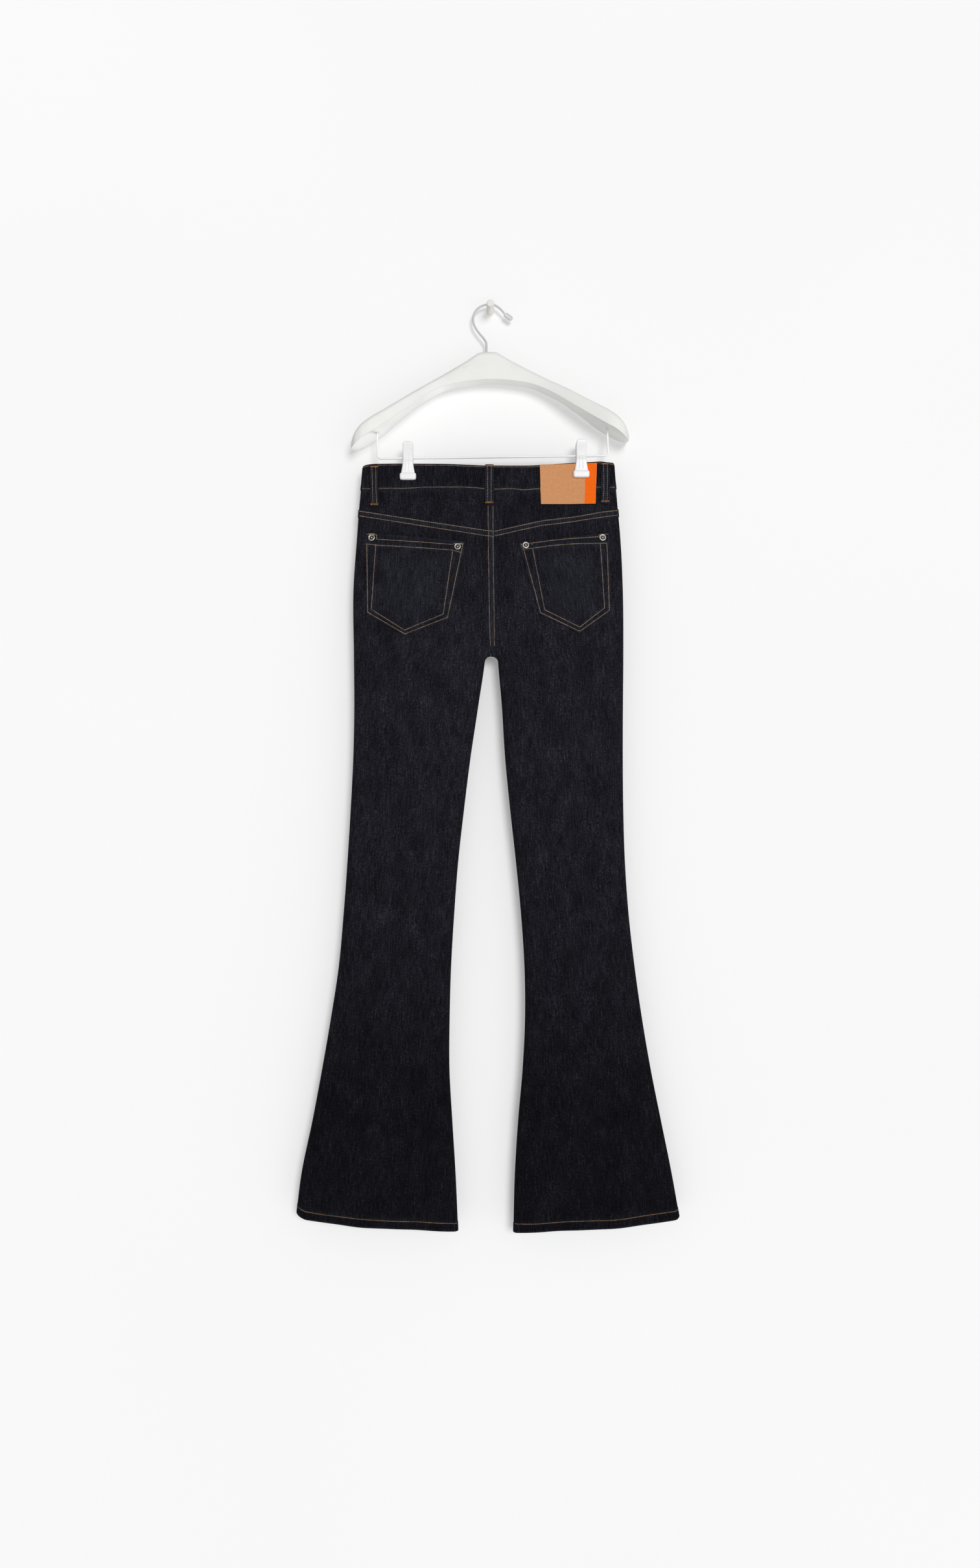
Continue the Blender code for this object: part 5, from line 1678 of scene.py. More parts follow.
@dataclass
class Waistband:
    """Straight band all round, its left end lapped over its right end at the front."""

    garment: Garment
    wall: float = 2.4
    proud: float = 0.6
    lap_over: float = 20.0
    lap_under: float = 23.0
    lap_ramp: float = 15.0
    lap_settle: float = 2.0
    low_inset: float = 2.0
    high_inset: float = 1.5
    height: float = 35.0
    rows: int = 13

    def quarter(self, leg: Leg, face: Face, reach: float) -> Array:
        """Outside of the band from a side to reach, on one face.

        Args:
            leg: the side it starts from.
            face: which face.
            reach: where it stops.

        Returns:
            Rows x columns x 3.
        """
        form, lines = self.garment.form, LINES[leg]
        rows = []
        for level in np.linspace(0.0, 1.0, self.rows):
            start = float(form.outer_x(leg, lines.top + (lines.band - lines.top) * level))
            distance = self.garment.columns(abs(reach - start), form.pinch, 0.0, 72)
            x = start - leg * distance
            top = form.waist_line(x, "top")
            drop = top + (form.waist_line(x, "band") - top) * level
            drop = drop + band_wave(x, face) * level ** 3 * smoothstep(distance / 12.0)
            rows.append(form.to_world(x, form.half_depth(x, drop, leg, face), drop, face))
        return np.array(rows)

    def build(self) -> None:
        """Make the band and sew its edges."""
        form = self.garment.form
        pieces = [
            self.quarter(Leg.LEFT, Face.FRONT, form.centre_x + self.lap_over)[:, ::-1],
            self.quarter(Leg.LEFT, Face.BACK, form.centre_x)[:, 1:],
            self.quarter(Leg.RIGHT, Face.BACK, form.centre_x)[:, ::-1][:, 1:],
            self.quarter(Leg.RIGHT, Face.FRONT, form.centre_x - self.lap_under)[:, 1:],
        ]
        for side in (0, 2):
            pieces[side][:, -1, 1] = form.middle_y
        points = np.concatenate(pieces, axis=1)
        normals = grid_normals(points, Face.BACK)
        if normals[0, 0, 1] < 0:
            normals = -normals
        lapped = pieces[0].shape[1]
        ramp_end = form.centre_x - self.lap_under - self.lap_settle
        lap = smoothstep((points[:, :lapped, 0] - ramp_end + self.lap_ramp) / self.lap_ramp)
        level = np.linspace(0.0, 1.0, self.rows)[:, None] + np.zeros(points.shape[:2])
        lift = self.proud + (0.35 * bump_at(level - 0.9, 0.12) - 0.45 * (level < 0.02))
        lift[:, :lapped] += lap * (self.wall + form.seam_gap)
        outside = points + normals * lift[..., None]
        worn = 0.5 * bump_at((1 - level) * self.height, 4.0) + 0.4 * bump_at(level * self.height, 1.6)
        inside = outside - normals * self.wall
        cloth = self.garment.cover(
            "waistband", outside, inside, worn, self.garment.edge_round, lined=False)
        flat, area = cut_size(outside)
        self.sew()

    def sew(self) -> Object:
        """Sew the heavy lower row and the fine row on the top edge, on both faces."""
        form = self.garment.form
        sewing = self.garment.needle("waistband_stitching")
        left = float(form.outer_x(Leg.LEFT, 16.0)) + 1.3
        right = float(form.outer_x(Leg.RIGHT, 16.0)) - 1.3
        before = form.centre_x - self.lap_under - self.lap_ramp - 4.0
        after = form.centre_x + self.lap_over + 2.0
        for face, start, end in (
            (Face.BACK, left, right), (Face.FRONT, left, before), (Face.FRONT, after, right)
        ):
            sewing.face = face
            x = np.linspace(start, end, max(20, round((end - start) / 3)))
            low = form.waist_line(x, "band") + band_wave(x, face) - self.low_inset
            sewing.row(BAND_STITCH, x, low, self.proud + 0.3)
            sewing.row(EDGE_STITCH, x, form.waist_line(x, "top") + self.high_inset, self.proud)
        lapped = self.proud + self.wall + form.seam_gap
        end = form.centre_x + self.lap_over - 2.0
        x = np.linspace(form.centre_x - self.lap_under, end, 30)
        sewing.row(TOPSTITCH, x, form.waist_line(x, "band") - self.low_inset, lapped)
        sewing.row(TOPSTITCH, x, form.waist_line(x, "top") + self.high_inset, lapped)
        sewing.row(TOPSTITCH, end, np.linspace(1.0, 32.0, 12), lapped)
        return sewing.build([self.garment.finishes.tan])


@dataclass
class BackPocket(LegPiece):
    """Pointed patch pocket with a hemmed mouth that stands a little open.

    The outline runs from the outer top corner to the inner one and round by the point. Rows,
    tabs, tacks and rivets are places of stitches and hardware, as x and drop.
    """

    outline: Points
    inner_rows: Points
    outer_rows: Points
    mouth_rows: tuple[Points, ...]
    tabs: tuple[Points, ...]
    tacks: Points
    rivets: Points
    columns: int = 65
    rows: int = 65
    mouth_open: float = 1.0
    fold_rise: float = 0.5
    hem_rise: float = 0.65
    hang: float = 130.0
    ripple: float = 0.14
    ripple_wave: float = 8.4
    body: float = 0.5
    wear: tuple[float, float, float, float] = (0.6, 0.35, 0.15, 0.4)

    @staticmethod
    def outside_of(x: Array, drop: Array, corners: Points) -> Array:
        """Signed distance out of a convex shape, negative inside it.

        Args:
            x: places across.
            drop: their drops.
            corners: the shape's corners in order.

        Returns:
            The distances.
        """
        middle = np.mean(np.array(corners), axis=0)
        best = np.full(np.shape(x), -np.inf)
        for (x0, d0), (x1, d1) in zip(corners, corners[1:] + corners[:1]):
            normal = np.array([d1 - d0, x0 - x1]) / math.hypot(x1 - x0, d1 - d0)
            if (middle - np.array([x0, d0])) @ normal > 0:
                normal = -normal
            best = np.maximum(best, (x - x0) * normal[0] + (drop - d0) * normal[1])
        return best

    def lift(self, x: Array, drop: Array) -> Array:
        """Height of the pocket's outside off the form.

        Args:
            x: places across.
            drop: their drops.

        Returns:
            Height at each point.
        """
        down = np.clip((drop - straight(self.outline[:2], x)) / self.hang, 0.0, 1.0)
        (left, _), (right, _) = sorted(self.outline[:2])
        across = np.clip((x - left) / (right - left), 0.0, 1.0)
        gape = self.mouth_open * np.sin(across * math.pi) * (1 - down) ** 4
        low = straight(self.mouth_rows[1], x)
        hem = self.hem_rise * (1 - smoothstep((drop - low - 0.6) / 1.6))
        away = self.outside_of(x, drop, self.inner_rows)
        fold = self.fold_rise * smoothstep((away + 2.0) / 1.6)
        _, along = nearest_on_path(x, drop, self.outer_rows)
        beat = np.sin(along * math.tau / self.ripple_wave + 1.2 * np.sin(along / 23.0))
        ripple = self.ripple * beat * smoothstep((away + 4) / 4)
        body = self.body * np.sin(across * math.pi) * np.sin(down * math.pi)
        base = self.garment.form.seam_gap + self.garment.cloth_wall
        return base + gape + hem + fold + ripple + body

    def build(self) -> None:
        """Make the pocket and sew it."""
        outer_top, inner_top, inner_low, point, outer_low = (np.array(p) for p in self.outline)
        shares = np.linspace(0, 1, self.columns)
        top = np.outer(1 - shares, outer_top) + np.outer(shares, inner_top)
        low = outer_low + np.outer(np.minimum(2 * shares, 1), point - outer_low)
        low = low + np.outer(np.maximum(2 * shares - 1, 0), inner_low - point)
        places = top[None] + (low - top)[None] * np.linspace(0, 1, self.rows)[:, None, None]
        x, drop = places[..., 0], places[..., 1]
        lift = self.lift(x, drop)
        outside, normals = self.garment.form.lifted(x, drop, lift, Face.BACK)
        thick = self.garment.cloth_wall + (lift - lift.min()) * 0.35
        low_row = straight(self.mouth_rows[1], x)
        away = self.outside_of(x, drop, self.inner_rows)
        edge_wear, row_wear, mouth_wear, fold_wear = self.wear
        worn = edge_wear * bump_at(self.outside_of(x, drop, self.outline), 2.2)
        worn = worn + row_wear * bump_at(drop - low_row, 2.5) + mouth_wear * (drop < low_row)
        worn = worn + fold_wear * bump_at(away, 2.5) * (drop > low_row)
        worn = 0.75 * worn + 0.3 * smoothstep(-away / 30.0)
        cloth = self.garment.cover(
            "back_pocket_" + self.leg.word, outside, outside - normals * thick[..., None], worn,
            self.garment.edge_round, tuple(places[0, 0] * 0.31))
        flat, area = cut_size(outside)
        "back_panel_" + self.leg.word
        self.sew()

    def sew(self) -> list[Object]:
        """Sew the side rows, the mouth rows and the corner tabs with their tacks."""
        rows = self.garment.needle("pocket_stitching_" + self.leg.word)
        for corners in (self.outer_rows, self.inner_rows, *self.mouth_rows, *self.tabs):
            for start, end in zip(corners, corners[1:]):
                x, drop = np.linspace(start, end, max(3, round(math.dist(start, end) / 2))).T
                rows.row(MOUTH_STITCH, x, drop, self.lift(x, drop))
        tacks = self.garment.needle("pocket_tacks_" + self.leg.word)
        for place in self.tacks:
            tacks.tack(*place, 8.0, 1.5, float(self.lift(*np.array(place))))
        return [piece.build([self.garment.finishes.tan]) for piece in (rows, tacks)]


@dataclass
class Fly:
    """Flap of the left front over the right, with its curved end."""

    garment: Garment
    outer: float = -37.0
    inner: float = 3.0
    length: float = 138.0
    corner: float = 42.0
    square: float = 0.98
    rise: float = 0.4

    def foot(self, from_inner: Array) -> Array:
        """How much the curved end cuts off, by the share of the way to the outer edge."""
        return self.corner * (1 - np.sqrt(1 - (self.square * from_inner) ** 2))

    def build(self) -> None:
        """Make the flap, its curved double row and the centre front seam."""
        garment, form = self.garment, self.garment.form
        x = np.linspace(self.outer, self.inner, 22)
        top = form.centre_band + form.seam_gap + self.rise
        length = self.length - self.foot((self.inner - x) / (self.inner - self.outer))
        drop = top + length[None] * np.linspace(0.0, 1.0, 48)[:, None]
        lift = self.rise + garment.cloth_wall
        outside, normals = form.lifted(x[None], drop, lift, Face.FRONT)
        cloth = garment.cover(
            "fly", outside, outside - normals * garment.cloth_wall, None, garment.edge_round)
        rows = garment.needle("fly_stitching", Face.FRONT)
        for inset in (2.2, 8.4):
            at = np.linspace(self.outer + inset, self.inner - 3.0, 60)
            share = (self.inner - at) / (self.inner - self.outer - inset)
            low = self.length - inset - self.foot(share)
            rows.row(TOPSTITCH, at[0], np.linspace(top + 2.0, top + low[0], 40), lift)
            rows.row(TOPSTITCH, at, top + low, lift)
        edge = np.linspace(top + 2, top + self.length - 3, 50)
        rows.row(TOPSTITCH, self.inner - 1.6, edge, lift)
        for side in (-3.0, 4.6):
            rows.row(TOPSTITCH, side, np.linspace(top + self.length + 4, SEAT_SEAM_END, 40))
        sewing = rows.build([garment.finishes.tan])
        flat, area = cut_size(outside)


@dataclass
class BeltLoop:
    """Narrow folded loop, tacked at the band's top edge and on the cloth below the band."""

    garment: Garment
    name: str
    x: float
    face: Face
    top: float
    bottom: float
    lean: float = 0.0
    width: float = 11.4
    wall: float = 1.3
    bulge: float = 1.2
    proud: float = 0.6
    step: float = 3.0
    step_run: float = 9.0
    rows_in: float = 2.7
    near_seam: float = 20.0
    band_proud: float = 0.35
    edge_dip: float = 0.25

    def lift(self, x: Array, drop: Array) -> Array:
        """Height of the loop's outside off the form, with its middle a little sunk.

        Args:
            x: places across.
            drop: their drops.

        Returns:
            Height at each point.
        """
        form = self.garment.form
        down = (drop - self.top) / (self.bottom - self.top)
        on_band = 1 - smoothstep((drop - form.centre_band - self.step) / self.step_run)
        bowed = self.bulge * np.sin(down * math.pi) ** 2
        lifted = form.seam_gap + (self.proud + self.band_proud) * on_band + bowed
        if self.face == Face.BACK and abs(self.x - form.centre_x) < self.near_seam:
            lifted = lifted + self.garment.laps.proud * (1 - on_band)
        from_middle = np.abs(x - self.x) / (self.width / 2)
        return lifted + self.wall - self.edge_dip * bump_at(from_middle, 0.25)

    def build(self) -> None:
        """Make the loop, its two rows and its tacks."""
        garment = self.garment
        down = np.linspace(0, 1, 34)[:, None]
        middle = self.x + self.lean * (down - 0.5)
        drop = self.top + (self.bottom - self.top) * down + np.zeros((1, 11))
        x = middle + self.width * np.linspace(-0.5, 0.5, 11)[None]
        lift = self.lift(x - (middle - self.x), drop)
        outside, normals = garment.form.lifted(x, drop, lift, self.face)
        worn = np.full(x.shape, 0.5)
        worn[:, (0, 1, -2, -1)] = 0.6
        cloth = garment.cover(
            self.name, outside, outside - normals * self.wall, worn, 0.95, (self.x, 0.0), lined=False)
        rows = garment.needle(self.name + "_stitching", self.face)
        at = np.linspace(0.03, 0.93, 30)
        drop = self.top + (self.bottom - self.top) * at
        for side in (-1, 1):
            x = self.x + side * self.rows_in + self.lean * (at - 0.5)
            rows.row(LOOP_STITCH, x, drop, self.lift(x, drop))
        tacks = garment.needle(self.name + "_tacks", self.face)
        for place in (self.top + 1.6, self.bottom - 2.6):
            height = float(self.lift(np.array(self.x), np.array(place))) + 0.15
            tacks.tack(self.x, place, self.width - 0.8, 1.9, height)
        sewing = [rows.build([garment.finishes.tan]), tacks.build([garment.finishes.copper])]
        flat, area = cut_size(outside)


@dataclass
class Patch:
    """Plain kraft card on the band and yoke, with a bare orange strip along one side."""

    garment: Garment
    corners: Points = ((72.4, -2.9), (155.6, -6.4), (153.6, 53.2), (74.0, 54.6))
    wall: float = 1.0
    gap: float = 0.6
    strip_from: float = 0.80

    def build(self) -> None:
        """Make the card."""
        garment, corner = self.garment, np.array(self.corners)
        across = np.unique(np.concatenate([
            np.linspace(0, self.strip_from, 40), np.linspace(self.strip_from, 1, 12)]))
        down = np.linspace(0, 1, 40)[:, None]
        share = across[None, :, None]
        top = corner[0] + (corner[1] - corner[0]) * share
        low = corner[3] + (corner[2] - corner[3]) * share
        places = top + (low - top) * down[..., None]
        curl = 0.5 * down ** 3 + 0.25 * np.sin(across * 9.0)[None] * down ** 2
        lift = self.gap + garment.form.seam_gap + self.wall + curl
        outside, normals = garment.form.lifted(places[..., 0], places[..., 1], lift, Face.BACK)
        printed = ((across[1:] + across[:-1]) / 2 > self.strip_from).astype(int)
        piece = PieceMesh("patch")
        piece.add_wall(
            outside, outside - normals * self.wall, cloth_places(outside), rounded=0.7,
            columns_finish=printed)
        piece.build([garment.finishes.kraft, garment.finishes.orange], "patch_card")


@dataclass
class Hardware:
    """Rivets and the waist button, turned and struck.

    Each row of a profile is a radius, a height and a brightness, from the top's middle out.
    """

    garment: Garment
    pockets: list[BackPocket]
    rivet: Profile = (
        (0.0, 1.15, 1.0), (0.7, 1.1, 0.9), (1.2, 0.75, 0.2), (1.6, 0.45, 0.0), (2.5, 0.42, 0.0),
        (2.9, 0.6, 0.2), (3.2, 1.0, 0.8), (3.7, 1.3, 1.0), (4.3, 1.28, 0.9), (4.8, 0.95, 0.6),
        (5.05, 0.4, 0.2), (5.1, 0.0, 0.0),
    )
    button: Profile = (
        (0.0, 3.3, 0.4), (2.0, 3.35, 0.4), (5.2, 3.3, 0.4), (5.9, 3.4, 0.6), (6.6, 4.0, 1.0),
        (7.4, 4.2, 1.0), (8.1, 4.0, 0.9), (8.5, 3.4, 0.5), (8.4, 2.5, 0.3), (8.0, 2.0, 0.1),
        (4.4, 1.7, 0.0), (3.8, 1.2, 0.0), (3.6, 0.0, 0.0),
    )
    sides: int = 40

    def turn(self, name: str, profile: Profile, x: float, drop: float, face: Face, lift: float) -> None:
        """Turn a profile and stand it on the cloth.

        Args:
            name: the piece, and the solid that it stands for.
            profile: its half outline.
            x: where it stands.
            drop: where it stands.
            face: the back or the front.
            lift: height of its foot off the form.
        """
        foot, up = self.garment.form.lifted(np.array([x]), drop, lift, face)
        axis = up[0]
        side = np.cross(axis, (0.0, 0.0, 1.0))
        side /= np.linalg.norm(side)
        angles = np.linspace(0, math.tau, self.sides, endpoint=False)
        circle = np.cos(angles)[:, None] * side + np.sin(angles)[:, None] * np.cross(axis, side)
        rings = np.array([foot[0] + axis * height + circle * max(r, 0.02) for r, height, _ in profile])
        piece = PieceMesh(name)
        piece.add_tube(rings, np.repeat([bright for _, _, bright in profile], self.sides))
        piece.build([self.garment.finishes.nickel], "nickel", 80.0)

    def build(self) -> None:
        """Set every rivet and the button."""
        form = self.garment.form
        for pocket in self.pockets:
            for place, spot in zip(("outer", "inner"), pocket.rivets):
                lift = float(pocket.lift(*np.array(spot))) - 0.15
                self.turn(f"rivet_back_{pocket.leg.word}_{place}", self.rivet, *spot, Face.BACK, lift)
        for leg in Leg:
            band = LINES[leg].band + form.seam_gap
            for place, drop, inset in (
                ("top", band + 8.0, SCOOP_REACH + 7.5), ("side", band + SCOOP_DEPTH + 8.0, 13.0)
            ):
                x = float(form.outer_x(leg, drop)) - leg * inset
                self.turn(f"rivet_front_{leg.word}_{place}", self.rivet, x, drop, Face.FRONT, 0.0)
        self.turn("waist_button", self.button, form.centre_x, 15.0, Face.FRONT, 3.4)


def sweep(route: Array, radii: Array, sides: int, flat: Number = 1.0) -> Array:
    """Rings of a round tube that follows a route in an upright plane.

    Args:
        route: centre points in world millimetres.
        radii: half width of the tube at each point.
        sides: points round it.
        flat: how thin it is across the plane, as a share of its width.

    Returns:
        Rings x points x 3.
    """
    along = np.gradient(route, axis=0)
    along /= np.linalg.norm(along, axis=1, keepdims=True)
    across = np.array([0.0, 1.0, 0.0])
    up = np.cross(along, across)
    up /= np.linalg.norm(up, axis=1, keepdims=True)
    angles = np.linspace(0, math.tau, sides, endpoint=False)
    thin = np.broadcast_to(flat, len(route))[:, None]
    ring = up[:, None] * np.cos(angles)[None, :, None]
    ring = ring + across * (np.sin(angles)[None] * thin)[..., None]
    return route[:, None] + ring * radii[:, None, None]


@dataclass
class Hanger:
    """Broad wooden hanger with a wire hook, and a wire bar let into its underside.

    The wood's tables go from its middle, at 0, to its tips, at 1: heights of the top edge, of
    the front and back lower edges, and the depth from the back. The left arm droops a little.
    """

    finishes: Finishes
    tops: Points = (
        (0.0, -67.6), (0.05, -67.9), (0.065, -68.5), (0.08, -70.2), (0.15, -79.2), (0.25, -90.5),
        (0.35, -101.6), (0.45, -112.6), (0.55, -123.8), (0.65, -136.2), (0.75, -148.6),
        (0.85, -160.5), (0.93, -172.8), (0.97, -182.5), (1.0, -195.0),
    )
    arrises: Points = (
        (0.0, -109.2), (0.08, -109.5), (0.18, -111.6), (0.32, -117.4), (0.42, -126.3),
        (0.5, -136.2), (0.6, -150.4), (0.65, -157.2), (0.75, -170.9), (0.835, -181.6),
        (0.9, -189.4), (0.94, -195.4), (0.97, -200.2), (1.0, -203.0),
    )
    heels: Points = (
        (0.0, -109.4), (0.08, -109.8), (0.18, -111.9), (0.327, -117.4), (0.405, -124.8),
        (0.51, -136.0), (0.626, -152.6), (0.67, -159.4), (0.77, -176.0), (0.85, -187.0),
        (0.93, -195.6), (0.975, -198.2), (1.0, -198.6),
    )
    depths: Points = (
        (0.0, 29.0), (0.18, 29.3), (0.3, 30.0), (0.4, 32.0), (0.5, 36.2), (0.61, 42.0),
        (0.7, 46.6), (0.8, 50.2), (0.88, 51.5), (0.93, 50.0), (0.97, 44.0), (1.0, 31.0),
    )
    droop_left: Points = (
        (0.0, 0.0), (0.18, -0.8), (0.4, -2.3), (0.6, -4.7), (0.76, -6.0), (0.9, -6.4),
        (1.0, -6.4),
    )
    corner_radii: tuple[float, float, float, float] = (4.0, 7.0, 0.8, 2.0)
    corner_blend: float = 1.2
    crown: float = 0.5
    middle_x: float = -3.8
    reach_left: float = 200.9
    reach_right: float = 207.6
    back_y: float = -2.5
    stations: int = 150
    tip_from: float = 0.992
    bar_y: float = -30.0
    bar_z: float = -223.3
    bar_radius: float = 1.65
    bar_corner: float = 4.5
    bar_socket: float = 9.0
    holes: tuple[float, float] = (-165.8, 171.5)
    corners_x: tuple[float, float] = (-164.7, 172.4)
    hole_clear: float = 0.55
    hook_x: float = -5.7
    hook_y: float = -13.0
    hook_radius: float = 1.55
    hook_socket: float = 10.0
    hook_route: Points = (
        (-5.7, -76.4), (-5.7, -66.0), (-5.7, -54.0), (-6.1, -50.0), (-9.2, -44.6),
        (-15.8, -36.6), (-21.6, -28.4), (-24.9, -20.4), (-25.2, -12.4), (-22.4, -4.2),
        (-16.0, 2.2), (-7.8, 6.0), (0.0, 7.1), (7.4, 5.2), (14.2, 0.4), (19.9, -5.6),
    )
    hook_tip: Profile = (
        (21.3, -7.2, 1.05), (22.0, -7.9, 2.1), (23.6, -9.3, 2.4), (27.0, -12.0, 2.5),
        (30.0, -14.2, 2.35), (31.6, -15.3, 1.9), (32.4, -15.9, 1.2),
    )

    def corners(self, share: float) -> Array:
        """Four corners of one section of the wood, as y and z, from the upper back round the front.

        Args:
            share: place along the wood, -1 at the left tip and 1 at the right.

        Returns:
            4 x 2 in world millimetres.
        """
        tables = (self.tops, self.arrises, self.heels, self.depths, self.droop_left)
        top, arris, heel, depth, droop = (
            float(follow(table, np.array(abs(share)))) for table in tables)
        shift = HOLDER_TILT * self.place_x(share) + (droop if share < 0 else 0.0)
        front = self.back_y - depth
        return np.array([
            (self.back_y, top + shift), (front, top + shift), (front, arris + shift),
            (self.back_y, heel + shift)])

    def place_x(self, share: float) -> float:
        """World x of a section."""
        return self.middle_x + share * (self.reach_right if share > 0 else self.reach_left)

    def ring(self, share: float, shrink: float = 1.0) -> Array:
        """One section of the wood: a crowned face, a crisp lower arris and rounded backs.

        Args:
            share: place along the wood, -1 at the left tip and 1 at the right.
            shrink: size of the section about its centre, below 1 on the rounded tips.

        Returns:
            Points x 3 in world millimetres.
        """
        corners = self.corners(share)
        sides = np.linalg.norm(np.roll(corners, -1, axis=0) - corners, axis=1)
        points: list[Array] = []
        for index, corner in enumerate(corners):
            before, after = corners[index - 1] - corner, corners[(index + 1) % 4] - corner
            room = 0.45 * min(sides[index - 1], sides[index])
            radius = min(self.corner_radii[index], room)
            before, after = before / np.linalg.norm(before), after / np.linalg.norm(after)
            centre = corner + (before + after) * radius
            spread = min(radius + self.corner_blend, room * 1.05)
            points.append(corner + before * spread)
            for turn in np.radians(np.linspace(0.0, 90.0, 7)):
                points.append(
                    centre - after * radius * math.cos(turn) - before * radius * math.sin(turn))
            points.append(corner + after * spread)
            if index == 1:
                face = corners[2] - corner
                for along in (0.3, 0.42, 0.54, 0.66, 0.78):
                    out = -self.crown * 4 * along * (1 - along)
                    points.append(corner + face * along + np.array([out, 0.0]))
        middle = corners.mean(axis=0)
        loop = middle + (np.array(points) - middle) * shrink
        return np.column_stack([np.full(len(loop), self.place_x(share)), loop])

    def underside(self, x: float) -> float:
        """Height of the wood's underside over the bar at x."""
        share = (x - self.middle_x) / (self.reach_right if x > self.middle_x else self.reach_left)
        _, _, (front, arris), (back, heel) = self.corners(share)
        return float(np.interp(self.bar_y, (front, back), (arris, heel)))

    def build(self) -> None:
        """Make the wood, the hook and the bar."""
        self.build_body()
        self.build_hook()
        self.build_bar()

    def build_body(self) -> None:
        """Make the wood and bore its three holes."""
        even = np.linspace(-1, 1, self.stations)
        shares = 0.6 * np.sin(even * math.pi / 2) + 0.4 * even
        shares = self.tip_from * np.sign(shares) * (1 - (1 - np.abs(shares)) ** 1.15)
        rings = [self.ring(float(share)) for share in shares[1:-1]]
        for end in (1.0, -1.0):
            for turn in np.radians((25.0, 50.0, 70.0, 85.0)):
                share = self.tip_from + (1 - self.tip_from) * math.sin(turn)
                cap = self.ring(end * share, max(math.cos(turn), 0.12))
                rings = rings + [cap] if end > 0 else [cap] + rings
        piece = PieceMesh("hanger_body")
        piece.add_tube(np.array(rings))
        body = piece.build([self.finishes.lacquer], sharp=40.0)
        top = self.tops[0][1]
        bores = [(self.hook_x, self.hook_y, top - self.hook_socket - 1.0, top + 8.0, self.hook_radius)]
        for x in self.holes:
            low = self.underside(x)
            bores.append((x, self.bar_y, low - 8.0, low + self.bar_socket + 1.0, self.bar_radius))
        cutters = []
        for x, y, low, high, radius in bores:
            work = bmesh.new()
            wide = (radius + self.hole_clear) * MM
            bmesh.ops.create_cone(
                work, cap_ends=True, segments=32, radius1=wide, radius2=wide, depth=(high - low) * MM)
            mesh = bpy.data.meshes.new("bore")
            work.to_mesh(mesh)
            work.free()
            cutters.append(add_object("bore", mesh))
            cutters[-1].location = (x * MM, y * MM, (low + high) / 2 * MM)
            body.modifiers.new("bore", "BOOLEAN").object = cutters[-1]
        graph = bpy.context.evaluated_depsgraph_get()
        bored = bpy.data.meshes.new_from_object(body.evaluated_get(graph))
        body.modifiers.clear()
        body.data = bored
        body.data.name = body.name
        for cutter in cutters:
            bpy.data.objects.remove(cutter)
        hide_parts("hanger_body")

    def build_hook(self) -> None:
        """Make the wire hook with its flattened tip."""
        route = np.array([(x, z, 1.0) for x, z in self.hook_route] + list(self.hook_tip))
        lengths = run_along(route[:, :2])
        at = np.linspace(0, lengths[-1], 130)
        x, z, swell = (follow(tuple(zip(lengths, column)), at) for column in route.T)
        end = np.clip((lengths[-1] - at) / 1.4, 0.0, 1.0)
        radii = self.hook_radius * swell * np.sqrt(np.maximum(1 - (1 - end) ** 2, 0.02))
        places = np.stack([x, np.full(len(at), self.hook_y), z], axis=1)
        piece = PieceMesh("hanger_hook")
        piece.add_tube(sweep(places, radii, 24, np.clip(1.0 / swell ** 1.4, 0.25, 1.0)))
        piece.build([self.finishes.plated], "hook_steel", 60.0)

    def bend(self, hole_x: float, corner_x: float) -> list[tuple[float, float]]:
        """Route of the bar, as x and z, from its hole round its lower corner.

        Args:
            hole_x: where the bar leaves the wood.
            corner_x: where it turns level.

        Returns:
            Points from the hole inward.
        """
        side = 1 if hole_x > self.middle_x else -1
        low = self.bar_z + HOLDER_TILT * corner_x
        top = self.underside(hole_x)
        points = [
            (hole_x, top + self.bar_socket), (hole_x, top + 0.4),
            ((hole_x + corner_x) / 2, (top + low) / 2)]
        for angle in np.radians(np.linspace(0.0, 90.0, 12)):
            x = corner_x - side * self.bar_corner * (1 - math.cos(angle))
            points.append((x, low + self.bar_corner * (1 - math.sin(angle))))
        return points

    def build_bar(self) -> None:
        """Make the bar that the clips slide on."""
        left, right = (self.bend(*ends) for ends in zip(self.holes, self.corners_x))
        between = np.linspace(left[-1], right[-1], 12)[1:-1]
        route = resample(np.array([*left, *between, *right[::-1]]), 2.2)
        places = np.insert(route, 1, self.bar_y, axis=1)
        piece = PieceMesh("hanger_bar")
        piece.add_tube(sweep(places, np.full(len(places), self.bar_radius), 20))
        piece.build([self.finishes.coated], "coated_wire", 60.0)


